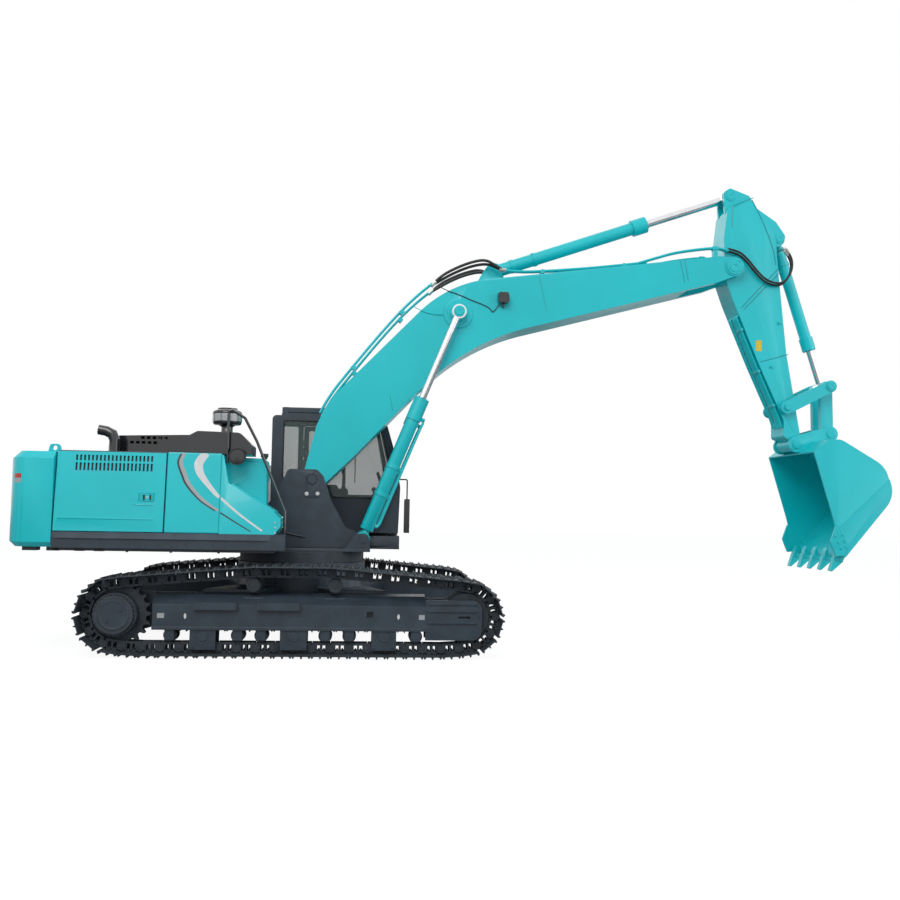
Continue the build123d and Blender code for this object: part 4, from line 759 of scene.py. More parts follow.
FRAME_PLATES = [filled((-1.554, 0.445), (-1.474, 0.502)), filled((1.462, 0.449), (1.53, 0.506))]
laid_film("frame_plates", "track_frame_right", FRAME_PLATES, SILVER)
laid_film("frame_ovals", "track_frame_right", [oval(-1.237, 0.47), oval(1.222, 0.481)], WHITE)

# ---------------------------------------------------------------- trim of the house

GREY_STRIPE = [(-1.318, 2.352), (-1.352, 2.246), (-1.3, 2.1), (-1.24, 1.98), (-1.082, 1.809), (-0.9, 1.69)]
GREY_EDGE = [(x - 0.034, z - 0.006) for x, z in GREY_STRIPE]
WHITE_STRIPE = [(-1.066, 2.358), (-1.143, 2.251), (-1.14, 2.16), (-1.09, 2.065)]
WHITE_STRIPE += [(-0.947, 1.893), (-0.892, 1.845)]
WHITE_TAIL = [(-0.876, 1.832), (-0.859, 1.818), (-0.647, 1.643), (-0.389, 1.461)]
DARK_TAIL = [(-0.876, 1.665), (-0.703, 1.56), (-0.52, 1.452)]
FILMS = [
    ("white_stripe", "tank", band(WHITE_STRIPE, [0.085, 0.105, 0.085, 0.05, 0.034]), WHITE),
    ("grey_stripe", "tank", band(GREY_STRIPE, [0.04, 0.046, 0.038, 0.026]), SILVER),
    ("stripe_edge", "tank", band(GREY_EDGE, [0.022, 0.024, 0.012]), STRIPE_DARK),
    ("white_tail", "toolbox", band(WHITE_TAIL, [0.034, 0.026, 0.02]), WHITE),
    ("dark_tail", "toolbox", band(DARK_TAIL, [0.018, 0.012]), STRIPE_DARK),
    ("reflector_red", "counterweight", filled((-3.24, 2.024), (-3.125, 2.075), 2), RED),
    ("reflector_white", "counterweight", filled((-3.24, 1.971), (-3.125, 2.023), 2), SILVER),
    ("tail_plate", "counterweight", filled((-3.352, 1.705), (-3.285, 1.84), 3), YELLOW),
]
for name, node, strip, material in FILMS:
    laid_film(name, node, [strip], material)


def lean_y(z):
    """How far out the leaning side panels stand at a height."""
    return 1.49 - 0.09 * (z - 1.42) / 0.94


def louvre_backing(name, side):
    """Black mesh behind the side door's slots."""
    bm = bmesh.new()
    low, high, rear, front = 2.105, 2.325, -2.585, -1.645
    outline = [(rear, low), (front, low), (front, high), (rear, high)]
    corners = [at(x, side * (lean_y(z) - 0.027), z) for x, z in outline]
    add_plate(bm, corners, (0, -side * 0.002, 0))
    for i in range(22):
        x = -2.565 + i * 0.0435
        for z in (2.15, 2.275):
            place = at(x, side * (lean_y(z) - 0.0255), z)
            half = Vector((0.0015, 0.0012, 0.04))
            add_box(bm, place - half, place + half)
    finish(f"louvre_backing_{name}", bm, f"{name}_side_door", PLASTIC)


def door_latch(name, side):
    """The paddle latch in its pocket, with a finger shelf below."""
    body = f"{name}_side_door"
    face = side * (lean_y(1.825) - 0.006)
    bm = bmesh.new()
    add_box(bm, at(-1.8, face - 0.006, 1.782), at(-1.65, face + 0.006, 1.868))
    finish(f"latch_plate_{name}", bm, body, TEAL, 0.004, 3)
    bm = bmesh.new()
    for x0, x1 in ((-1.765, -1.742), (-1.69, -1.67)):
        add_box(bm, at(x0, face + side * 0.004, 1.795), at(x1, face + side * 0.01, 1.858))
    finish(f"latch_paddle_{name}", bm, body, PLASTIC, 0.002)
    bm = bmesh.new()
    add_round(bm, at(-1.715, face, 1.826), at(-1.715, face + side * 0.008, 1.826), 0.012, 16)
    finish(f"latch_lock_{name}", bm, body, ZINC, 0.001)
    bm = bmesh.new()
    shelf = side * (lean_y(1.737) + 0.001)
    run(bm, [(-1.87, 1.748), (-1.862, 1.737), (-1.64, 1.737)], shelf, 0.006, 8)
    finish(f"latch_shelf_{name}", bm, body, TEAL)


for name, side in SIDES.items():
    louvre_backing(name, side)
    door_latch(name, side)


def deck_underside():
    """Pads and bolt heads below the counterweight and the side skirts."""
    bm = bmesh.new()
    for x0, x1 in ((-3.11, -2.95), (-2.84, -2.7), (-2.53, -2.42), (-2.31, -2.2)):
        for side in SIDES.values():
            low, high = sorted((side * 1.25, side * 1.4))
            add_box(bm, at(x0, low, 1.196), at(x1, high, 1.243))
    for side in SIDES.values():
        for x in (-1.95, -1.45, -0.9):
            add_bolt(bm, at(x, side * 1.32, 1.202), (0, 0, -1), 0.016, 0.012)
    finish("deck_pads", bm, "upper_structure", PLASTIC, 0.006)


def skirt_edge(name, side):
    """The slanting pressed edge along the top of the side skirt."""
    bm = bmesh.new()
    section = [(1.488, 1.417), (1.492, 1.417), (1.509, 1.352), (1.509, 1.346), (1.488, 1.34)]
    corners = [at(-2.765, side * y, z) for y, z in section]
    made = add_plate(bm, corners, (2.47, 0, 0))
    for vert in made:
        if abs(vert.co.y) > 1.5:
            vert.co.x += 0.09 if vert.co.x < SWING.x - 1.5 else -0.06
    # The lighter slate here is a painted highlight along the edge.
    finish(f"skirt_edge_{name}", bm, "upper_structure", SLATE_HIGHLIGHT, 0.003)


def tank_top():
    """Filler cap, the teal cover ahead of the tank, its black breather and the step's bolts."""
    bm = bmesh.new()
    outline = [(-0.88, 2.02), (-0.88, 2.3), (-0.85, 2.33), (-0.43, 2.33)]
    outline += [(-0.385, 2.29), (-0.385, 2.06), (-0.42, 2.03)]
    add_side_plate(bm, outline, -1.08, -0.82)
    finish("valve_cover", bm, "upper_structure", TEAL, 0.014, 3)
    bm = bmesh.new()
    top = at(-0.435, -0.96, 2.392)
    add_round(bm, at(-0.435, -0.96, 2.325), top, 0.036, 24)
    add_round(bm, at(-0.435, -0.96, 2.35), top, 0.047, 12)
    add_round(bm, at(-1.24, -1.14, 2.358), at(-1.24, -1.14, 2.385), 0.062, 28)
    finish("breather", bm, "upper_structure", PLASTIC, 0.004)
    bm = bmesh.new()
    for x in (-0.69, -0.56):
        low = at(x - 0.035, -1.0825, 2.052)
        add_box(bm, low, low + Vector((0.07, 0.004, 0.018)))
    finish("cover_slots", bm, "upper_structure", PLASTIC)
    bm = bmesh.new()
    for z in (1.56, 1.5, 1.44):
        add_bolt(bm, at(-0.183, -1.2, z + 0.06), (1, 0, 0), 0.01)
        add_bolt(bm, at(-0.238, -1.486, z), (0, -1, 0), 0.008, 0.006)
    finish("step_bolts", bm, "upper_structure", ZINC)


def hood_trim():
    """Grab bars on the engine hood."""
    bm = bmesh.new()
    for x in (-1.64, -2.05):
        route = [(-0.3, 2.604), (-0.29, 2.612), (-0.2, 2.614), (-0.11, 2.612), (-0.1, 2.604)]
        add_tube(bm, [at(x, y, z) for y, z in route], 0.004, 8)
    finish("hood_bars", bm, "engine_hood", BLACK)


def cleaner_trim():
    """The pre-cleaner's clear bowl, its ribs, neck and cap."""
    middle = at(-0.89, -1.015, 0)
    bm = bmesh.new()
    bowl = [(2.762, 0.152), (2.77, 0.1705), (2.815, 0.1725), (2.862, 0.1705), (2.868, 0.15)]
    lathe(bm, bowl, middle, (0, 0, 1), 48)
    finish("cleaner_bowl", bm, "upper_structure", CLEAR, 0, 2, 50)
    bm = bmesh.new()
    cap = [(2.86, 0.172), (2.866, 0.175), (2.882, 0.175), (2.904, 0.152)]
    cap += [(2.92, 0.104), (2.928, 0.05), (2.93, 0.02), (2.93, 0)]
    lathe(bm, cap, middle, (0, 0, 1), 48)
    rim = [(2.728, 0.1), (2.728, 0.152), (2.742, 0.17), (2.764, 0.172), (2.764, 0.15)]
    lathe(bm, rim, middle, (0, 0, 1), 48)
    neck = [(2.622, 0.086), (2.64, 0.07), (2.7, 0.068), (2.728, 0.104)]
    lathe(bm, neck, middle, (0, 0, 1), 36)
    for i in range(10):
        angle = 2 * pi * i / 10
        rib = middle + Vector((cos(angle), sin(angle), 0)) * 0.1735
        add_tube(bm, [rib + Vector((0, 0, z)) for z in (2.765, 2.868)], 0.003, 6)
    finish("cleaner_cap", bm, "upper_structure", BLACK, 0, 2, 50)


def bracket_trim(name, side):
    """Keeper plates' bolts, pin ends and the bar below on the boom's brackets."""
    bm = bmesh.new()
    for x, z in ((0.056, 1.925), (0.194, 1.928)):
        add_bolt(bm, at(x, side * 0.397, z), (0, side, 0), 0.019, 0.014)
    finish(f"keeper_bolts_{name}", bm, "upper_structure", ZINC, 0.001)
    bm = bmesh.new()
    centre = at(0.12, side * 0.379, 2.11)
    rows = [(0, 0.078), (0.01, 0.076), (0.013, 0.072), (0.013, 0.058)]
    rows += [(0.008, 0.054), (0.008, 0.024), (0.002, 0.02), (0.002, 0)]
    lathe(bm, rows, centre, (0, side, 0), 40)
    bar = [(-0.218, 0.384, 1.424), (-0.2, 0.398, 1.424), (0.02, 0.398, 1.378), (0.046, 0.384, 1.376)]
    add_tube(bm, [at(x, side * y, z) for x, y, z in bar], 0.011, 10)
    finish(f"bracket_trim_{name}", bm, "upper_structure", DARK, 0.0015)


MIRROR = at(-0.715, -1.37, 2.33)


def mirror_faces():
    """Faces of the mirrors, with the round one's rim and bracket."""
    bm = bmesh.new()
    lathe(bm, [(0, 0.086), (0.004, 0.082), (0.006, 0.04), (0.007, 0)], MIRROR, (0, -1, 0), 40)
    add_box(bm, at(1.386, 1.48, 1.43), at(1.391, 1.55, 1.89))
    finish("mirror_glass", bm, "upper_structure", BLACK)
    bm = bmesh.new()
    lathe(bm, [(0, 0.085), (0.006, 0.088), (0.006, 0.101), (-0.01, 0.103)], MIRROR, (0, -1, 0), 40)
    add_box(bm, at(-0.742, -1.381, 2.3), at(-0.69, -1.369, 2.314))
    finish("mirror_rim", bm, "upper_structure", PLASTIC)


deck_underside()
for name, side in SIDES.items():
    skirt_edge(name, side)
tank_top()
hood_trim()
cleaner_trim()
for name, side in SIDES.items():
    bracket_trim(name, side)
mirror_faces()

# ---------------------------------------------------------------- boom and its cylinders

FOOT = Vector((0.12, 0, 2.11))
ARM_PIN = FOOT + Vector((5.61, 0, 3.01))
BUCKET_PIN = ARM_PIN + Vector((0.89, 0, -2.39))
TIP_JOINT = BUCKET_PIN + Vector((0.47, 0, 0.8))
LINK_PIN = BUCKET_PIN + Vector((0.48, 0, 0.15))
IDLER_PIN = ARM_PIN + Vector((0.74, 0, -1.9))
BOOM_ROD_PIN = FOOT + Vector((1.85, 0, 2.23))
BOOM_BASE_PIN = Vector((0.78, 0, 1.36))
ARM_BASE_PIN = FOOT + Vector((2.32, 0, 2.87))
ARM_ROD_PIN = ARM_PIN + Vector((0.01, 0, 1.04))
BUCKET_BASE_PIN = ARM_PIN + Vector((0.71, 0, 0.47))


def pin_boss(bm, pin, y, side, radius, depth):
    """A pin's end in its boss: a stepped cap with a keeper bolt."""
    centre = at(pin.x, side * y, pin.z)
    steps = [(0, 1), (0.6, 0.97), (0.6, 0.72), (1, 0.68), (1, 0.25), (0.7, 0.2), (0.7, 0)]
    lathe(bm, [(depth * out, radius * wide) for out, wide in steps], centre, (0, side, 0), 36)
    rim = centre + Vector((cos(0.9), 0, sin(0.9))) * radius * 0.84 + Vector((0, side * depth * 0.6, 0))
    add_bolt(bm, rim, (0, side, 0), radius * 0.09, 0.008, washer=False)


def clamp(bm, x, z, ys, slope):
    """A clamp block with three bolts over a row of pipes, laid along a slope."""
    turn = Matrix.Rotation(-slope, 3, "Y")
    middle = at(x, sum(ys) / 2, z)
    half = abs(ys[1] - ys[0]) / 2 + 0.03
    add_box(bm, middle - Vector((0.03, half, 0.018)), middle + Vector((0.03, half, 0.03)), turn)
    up = turn @ Vector((0, 0, 1))
    for y in (-half + 0.01, 0, half - 0.01):
        add_bolt(bm, middle + Vector((0, y, 0)) + up * 0.03, up, 0.009, 0.008)


PIPE_RADIUS = 0.0165
TOP_YS, BACK_YS, TIP_YS = (0.225, 0.275), (0.235, 0.285), (0.246, 0.292)
TOP_ROUTE = [(2.56, 4.96), (2.76, 4.945), (3.095, 4.965), (3.7, 5.03)]
TOP_ROUTE += [(4.209, 5.098), (4.415, 5.13), (4.52, 5.14)]
BACK_ROUTE = [(0.215, 2.94), (0.3, 3.135), (0.62, 3.56), (1.06, 4.12), (1.42, 4.52), (1.64, 4.7)]
TIP_ROUTE = [(4.415, 5.13), (4.7, 5.225), (4.906, 5.29), (5.2, 5.345)]
TIP_ROUTE += [(5.45, 5.378), (5.56, 5.372), (5.64, 5.352)]
# the pipes' y values, and the block's x, z and slope
PIPE_CLAMPS = [
    (TOP_YS, 3.095, 4.95, 0.11),
    (TOP_YS, 4.209, 5.08, 0.13),
    (BACK_YS, 0.62, 3.575, 0.92),
    (BACK_YS, 1.23, 4.33, 0.9),
]


def boom_pipes():
    """Steel pipes along the boom's back with their clamps."""
    steel = bmesh.new()
    blocks = bmesh.new()
    for side in SIDES.values():
        for y in TOP_YS:
            run(steel, TOP_ROUTE, side * y, PIPE_RADIUS)
        for y in BACK_YS:
            run(steel, [(x - 0.02, z + 0.04) for x, z in BACK_ROUTE], side * y, PIPE_RADIUS)
        for ys, x, z, slope in PIPE_CLAMPS:
            clamp(blocks, x, z, [side * y for y in ys], slope)
    finish("boom_pipes", steel, "boom_body", TEAL)
    finish("boom_clamps", blocks, "boom_body", TEAL, 0.003)


def boom_hoses():
    """Black hoses over the boom's bend and at its foot, with bright end fittings."""
    hose = bmesh.new()
    ends = bmesh.new()
    for side in SIDES.values():
        for y, rise in ((0.225, 0.0), (0.275, 0.045)):
            route = [(1.64, 4.74), (1.723, 4.79 + rise), (1.9, 4.9 + rise), (2.12, 5.0 + rise)]
            route += [(2.33, 5.05 + rise), (2.47, 5.01), (2.56, 4.962)]
            run(hose, route, side * y, 0.019, 12)
            for x, z, dx, dz in ((1.64, 4.74, 0.03, 0.03), (2.56, 4.962, 0.045, 0.0)):
                add_round(ends, at(x - dx, side * y, z - dz), at(x + dx, side * y, z + dz), 0.024, 6)
    finish("boom_hoses", hose, "boom_body", RUBBER)
    finish("hose_ends", ends, "boom_body", ZINC, 0.002)


LAMP_FACE = at(2.6245, -0.385, 4.56)


def boom_seams():
    """Weld beads, the rod pin's bosses and the lamp's face."""
    bm = bmesh.new()
    seams = [
        ([(3.042, 4.886), (3.156, 4.405)], 0.0035),
        ([(1.095, 3.234), (1.133, 3.03)], 0.0035),
        ([(4.975, 5.17), (5.035, 4.88)], 0.005),
        ([(5.035, 5.18), (5.085, 4.9)], 0.005),
    ]
    for side in SIDES.values():
        for seam, radius in seams:
            run(bm, seam, side * 0.3255, radius, 6)
    # The beads are darker teal: painted shade along the welds.
    finish("boom_seams", bm, "boom_body", SEAM_SHADE)
    bm = bmesh.new()
    for side in SIDES.values():
        pin_boss(bm, ARM_PIN, 0.336, side, 0.112, 0.022)
        pin_boss(bm, BOOM_ROD_PIN, 0.489, side, 0.075, 0.02)
        rows = [(0, 0.19), (0.006, 0.187), (0.006, 0.15), (0.003, 0.147), (0.003, 0.115)]
        lathe(bm, rows, at(BOOM_ROD_PIN.x, side * 0.3395, BOOM_ROD_PIN.z), (0, side, 0), 48)
        pin_boss(bm, ARM_BASE_PIN, 0.139, side, 0.075, 0.012)
    finish("boom_bosses", bm, "boom_body", TEAL, 0.0015)
    bm = bmesh.new()
    lathe(bm, [(0, 0.044), (0.004, 0.04), (0.006, 0)], LAMP_FACE, (1, 0, 0), 28)
    finish("lamp_lens", bm, "boom_body", LENS)
    bm = bmesh.new()
    lathe(bm, [(0, 0.056), (0.008, 0.055), (0.008, 0.045), (0.001, 0.044)], LAMP_FACE, (1, 0, 0), 28)
    for z in (4.52, 4.55, 4.58, 4.61):
        add_box(bm, at(2.486, -0.425, z - 0.004), at(2.502, -0.345, z + 0.004))
    finish("lamp_rim", bm, "boom_body", BLACK, slot="black_plastic")


def boom_wires():
    """The lamp's wire and the grease line on the boom's right side, and the tip's pipes on their stand."""
    bm = bmesh.new()
    wire = [(1.7, 4.7), (1.8, 4.64), (1.96, 4.6), (2.15, 4.52)]
    wire += [(2.3, 4.47), (2.4, 4.42), (2.43, 4.35), (2.51, 4.48)]
    run(bm, wire, -0.333, 0.006, 6)
    finish("lamp_wire", bm, "boom_body", RUBBER)
    bm = bmesh.new()
    run(bm, [(1.36, 4.42), (1.5, 4.345), (1.68, 4.312), (1.8, 4.318)], -0.333, 0.006, 6)
    for side in SIDES.values():
        low, high = sorted((side * 0.232, side * 0.306))
        add_box(bm, at(5.44, low, 5.15), at(5.5, high, 5.355))
        add_box(bm, at(5.43, low, 5.345), at(5.51, high, 5.398))
        for y in TIP_YS:
            run(bm, TIP_ROUTE, side * y, PIPE_RADIUS)
            add_round(bm, at(5.59, side * y, 5.364), at(5.655, side * y, 5.348), 0.021, 6)
    finish("tip_pipes", bm, "boom_body", TEAL, 0.002)


boom_pipes()
boom_hoses()
boom_seams()
boom_wires()


def cylinder_trim(name, body, base, rod_pin, y, radius, bands, gland, collar, piped=False):
    """Bands round a barrel, its gland's bolts and seal, and an outside pipe where it has one."""
    way = (rod_pin - base).normalized()
    across = Vector((way.z, 0, -way.x))
    start = at(base.x, y, base.z)
    bm = bmesh.new()
    for reach in bands:
        rows = [(-0.024, radius), (-0.024, radius + 0.009), (0.024, radius + 0.009), (0.024, radius)]
        lathe(bm, rows, start + way * reach, way, 36)
        if piped:
            ear = start + way * reach + across * (radius + 0.018)
            half = Vector((0.016, 0.016, 0.02))
            add_box(bm, ear - half, ear + half)
    for i in range(8):
        angle = 2 * pi * i / 8
        rim = (across.normalized() * cos(angle) + Vector((0, 1, 0)) * sin(angle)) * (collar - 0.016)
        add_bolt(bm, start + way * gland + rim, way, 0.01, 0.01, washer=False)
    finish(f"{name}_bands", bm, body, TEAL, 0.002)
    bm = bmesh.new()
    seal = [(0, collar - 0.04), (0.01, collar - 0.04), (0.01, collar - 0.046), (0, collar - 0.05)]
    lathe(bm, seal, start + way * (gland + 0.0005), way, 32)
    finish(f"{name}_seal", bm, body, RUBBER)
    if not piped:
        return
    bm = bmesh.new()
    # the pipe's points: along the barrel, and out from its wall
    bends = [(0.2, 0.011), (0.22, 0.042), (0.33, 0.042)]
    bends += [(gland - 0.37, 0.042), (gland - 0.29, 0.054), (gland - 0.25, 0.038)]
    pipe = [start + way * along + across * (radius + out) for along, out in bends]
    add_tube(bm, pipe, 0.017, 10)
    add_round(bm, pipe[-1] - across * 0.036, pipe[-1] + across * 0.022, 0.026, 12)
    finish(f"{name}_pipe", bm, body, TEAL)


for name, side in SIDES.items():
    place = (BOOM_BASE_PIN, BOOM_ROD_PIN, side * 0.44)
    title = f"boom_cylinder_{name}"
    cylinder_trim(title, "boom_cylinder_barrels", *place, 0.085, (0.62, 1.0), 1.96, 0.098, True)
place = (ARM_BASE_PIN, ARM_ROD_PIN, 0)
cylinder_trim("arm_cylinder", "arm_cylinder_barrel", *place, 0.086, (0.3, 0.62), 2.268, 0.112)
place = (BUCKET_BASE_PIN, TIP_JOINT, 0)
cylinder_trim("bucket_cylinder", "bucket_cylinder_barrel", *place, 0.078, (0.35,), 1.6, 0.092)

# ---------------------------------------------------------------- arm, linkage and bucket


def arm_trim():
    """Ridges, pin ends, pipes, clamps and the blank plate of the arm."""
    bm = bmesh.new()
    ridges = [
        [(5.748, 5.996), (6.032, 6.121)],
        [(6.018, 6.092), (6.329, 5.532), (6.352, 5.2)],
        [(5.86, 4.581), (6.399, 5.157)],
        [(6.126, 3.846), (6.522, 3.962)],
        [(5.9, 4.56), (6.42, 5.11)],
        [(5.748, 5.996), (5.735, 5.7)],
    ]
    for side in SIDES.values():
        for ridge in ridges:
            run(bm, ridge, side * 0.215, 0.0065, 6)
    # The ridges are darker teal: painted shade along them.
    finish("arm_seams", bm, "arm_body", SEAM_SHADE)
    bm = bmesh.new()
    for side in SIDES.values():
        pin_boss(bm, ARM_ROD_PIN, 0.144, side, 0.075, 0.018)
        pin_boss(bm, BUCKET_BASE_PIN, 0.144, side, 0.07, 0.018)
        for x, z in ((6.396, 4.393), (6.288, 3.782)):
            add_round(bm, at(x, side * 0.214, z), at(x, side * 0.232, z), 0.022, 20)
            add_bolt(bm, at(x, side * 0.232, z), (0, side, 0), 0.012)
    finish("arm_bosses", bm, "arm_body", TEAL, 0.0015)
    bm = bmesh.new()
    route = [(5.87, 4.5), (5.825, 4.48), (5.812, 4.45), (5.9, 4.24)]
    route += [(6.08, 3.81), (6.3, 3.325), (6.425, 3.05), (6.44, 2.96)]
    for y in (-0.175, -0.13, -0.085, -0.04, 0.06, 0.11):
        run(bm, route, y, 0.014)
    finish("arm_pipes", bm, "arm_body", TEAL)
    bm = bmesh.new()
    for x, z, slope in ((5.88, 4.29, 1.165), (6.12, 3.722, 1.15), (6.33, 3.258, 1.144)):
        turn = Matrix.Rotation(slope, 3, "Y")
        middle = at(x, -0.107, z)
        add_box(bm, middle - Vector((0.018, 0.092, 0.016)), middle + Vector((0.018, 0.092, 0.02)), turn)
    finish("arm_clamps", bm, "arm_body", TEAL, 0.002)
    laid_film("arm_plate", "arm", [filled((6.068, 3.995), (6.15, 4.142), 3)], YELLOW)


HOSE_LOOP = [(5.64, 5.352), (5.787, 5.337), (5.923, 5.23), (6.055, 5.063), (6.185, 4.942), (6.345, 4.896)]
HOSE_LOOP += [(6.455, 4.934), (6.54, 5.063), (6.56, 5.185), (6.535, 5.291), (6.48, 5.37)]


def arm_hoses():
    """Black hoses that loop from the boom's tip across the arm to its cylinder's foot."""
    bm = bmesh.new()
    ends = bmesh.new()
    for side in SIDES.values():
        for y, lift in zip(TIP_YS, (0.0, 0.02)):
            run(bm, [(x, z + lift) for x, z in HOSE_LOOP], side * y, 0.0145, 12)
            add_round(ends, at(6.512, side * y, 5.325 + lift), at(6.47, side * y, 5.385 + lift), 0.02, 6)
            turn = [(6.48, y, 5.37 + lift), (6.46, y, 5.398 + lift), (6.435, y - 0.02, 5.41)]
            turn += [(6.415, 0.12, 5.4), (6.41, 0.085, 5.396)]
            add_tube(ends, [at(x, side * out, z) for x, out, z in turn], 0.015, 10)
    hoses = finish("arm_hoses", bm, None, RUBBER)
    at(5.65, 0, 5.36)
    at(6.16, 0, 4.98)
    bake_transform(hoses)
    finish("arm_hose_ends", ends, "arm_body", ZINC, 0.0015)


def linkage_trim():
    """Pin ends of the bucket's links and ears."""
    bm = bmesh.new()
    for side in SIDES.values():
        pin_boss(bm, IDLER_PIN, 0.3315, side, 0.04, 0.012)
        pin_boss(bm, TIP_JOINT, 0.322, side, 0.06, 0.016)
    finish("link_bosses", bm, "idler_link_pair", TEAL, 0.001)
    bm = bmesh.new()
    for side in SIDES.values():
        for pin in (BUCKET_PIN, LINK_PIN):
            pin_boss(bm, pin, 0.266, side, 0.06, 0.014)
            foot = at(pin.x - 0.06, side * 0.262, pin.z - 0.06)
            add_bolt(bm, foot, (0, side, 0), 0.012)
    finish("ear_bosses", bm, "bucket_body", TEAL, 0.001)


def bucket_trim():
    """Side cutters' bolts and the welds outside."""
    bm = bmesh.new()
    bolts = [(6.915, 1.5), (6.95, 1.42), (6.985, 1.345), (7.01, 1.52), (7.035, 1.44), (7.06, 1.365)]
    for side in SIDES.values():
        for x, z in bolts:
            add_bolt(bm, at(x, side * 0.757, z), (0, side, 0), 0.014, 0.011)
    finish("cutter_bolts", bm, "bucket_body", TEAL, 0.0015)
    bm = bmesh.new()
    for side in SIDES.values():
        run(bm, [(7.64, 2.215), (7.138, 1.769)], side * 0.7305, 0.004, 6)
        run(bm, [(6.78, 2.56), (6.905, 2.73), (7.0, 2.762)], side * 0.2555, 0.005, 6)
    # The welds are darker teal: painted shade along them.
    finish("bucket_welds", bm, "bucket_body", SEAM_SHADE)


arm_trim()
arm_hoses()
linkage_trim()
bucket_trim()

# ---------------------------------------------------------------- cab

CAB_NEAR, CAB_FAR = 0.56, 1.49
SEAT_MIDDLE = (CAB_NEAR + CAB_FAR) / 2
RIGHT_WINDOW = [(-0.33, 2.15), (-0.33, 2.95), (1.0, 2.95), (1.18, 2.15), (1.15, 1.9), (0.15, 1.9)]
QUARTER_WINDOW = [(-0.42, 2.15), (-0.42, 2.95), (-0.18, 2.95), (-0.18, 2.15)]
DOOR_WINDOW = [(-0.04, 1.95), (-0.04, 2.89), (0.96, 2.89), (1.11, 2.11), (1.09, 1.95)]


def rounded(rows):
    """A closed outline with its corners rounded."""
    radius, steps = 0.04, 5
    line = []
    corners = [Vector(row) for row in rows]
    for before, corner, after in zip(corners[-1:] + corners[:-1], corners, corners[1:] + corners[:1]):
        start = corner + (before - corner).normalized() * radius
        end = corner + (after - corner).normalized() * radius
        for i in range(steps + 1):
            t = i / steps
            line.append(start * (1 - t) ** 2 + corner * 2 * t * (1 - t) + end * t * t)
    return line


def seal(bm, rows, y):
    """A rubber bead round a window."""
    radius, sides = 0.009, 8
    path = [at(p.x, y, p.y) for p in rounded(rows)]
    rings = []
    for i, place in enumerate(path):
        way = (path[(i + 1) % len(path)] - path[i - 1]).normalized()
        out = way.cross(Vector((0, 1, 0))).normalized()
        ring = []
        for k in range(sides):
            angle = 2 * pi * k / sides
            spoke = out * radius * cos(angle) + Vector((0, 1, 0)) * radius * sin(angle)
            ring.append(bm.verts.new(place + spoke))
        rings.append(ring)
    for first, second in zip(rings, rings[1:] + rings[:1]):
        for k in range(sides):
            after = (k + 1) % sides
            bm.faces.new((first[k], first[after], second[after], second[k]))


def cab_trim():
    """Window seals, the door's handle, window bars and the wiper."""
    bm = bmesh.new()
    seal(bm, RIGHT_WINDOW, CAB_NEAR - 0.001)
    seal(bm, QUARTER_WINDOW, CAB_FAR + 0.001)
    finish("window_seals", bm, "upper_structure", RUBBER)
    bm = bmesh.new()
    seal(bm, DOOR_WINDOW, CAB_FAR + 0.001)
    finish("door_seal", bm, "cab_entry_door", RUBBER)
    bm = bmesh.new()
    add_box(bm, at(0.9, CAB_FAR - 0.002, 2.02), at(1.04, CAB_FAR + 0.016, 2.06))
    grip = [(0, 1.6), (0.045, 1.61), (0.045, 1.87), (0, 1.88)]
    add_tube(bm, [at(0.9, CAB_FAR + out, z) for out, z in grip], 0.01, 8)
    finish("door_handle", bm, "cab_entry_door", PLASTIC, 0.003)
    bm = bmesh.new()
    run(bm, [(0.654, 2.13), (0.654, 2.9)], CAB_FAR - 0.07, 0.008, 8)
    run(bm, [(1.18, 1.62), (1.215, 1.8), (1.222, 2.06), (1.15, 2.5)], 0.68, 0.012)
    finish("cab_bars", bm, "upper_structure", BLACK)
    bm = bmesh.new()
    add_box(bm, at(1.2505, 0.98, 1.48), at(1.285, 1.06, 1.54))
    add_tube(bm, [at(1.276, 1.02, 1.53), at(1.284, 1.04, 1.7), at(1.286, 1.1, 2.02)], 0.006, 6)
    add_tube(bm, [at(1.279, 1.06, 1.72), at(1.284, 1.09, 1.95), at(1.278, 1.12, 2.15)], 0.005, 6)
    finish("wiper", bm, "upper_structure", PLASTIC)


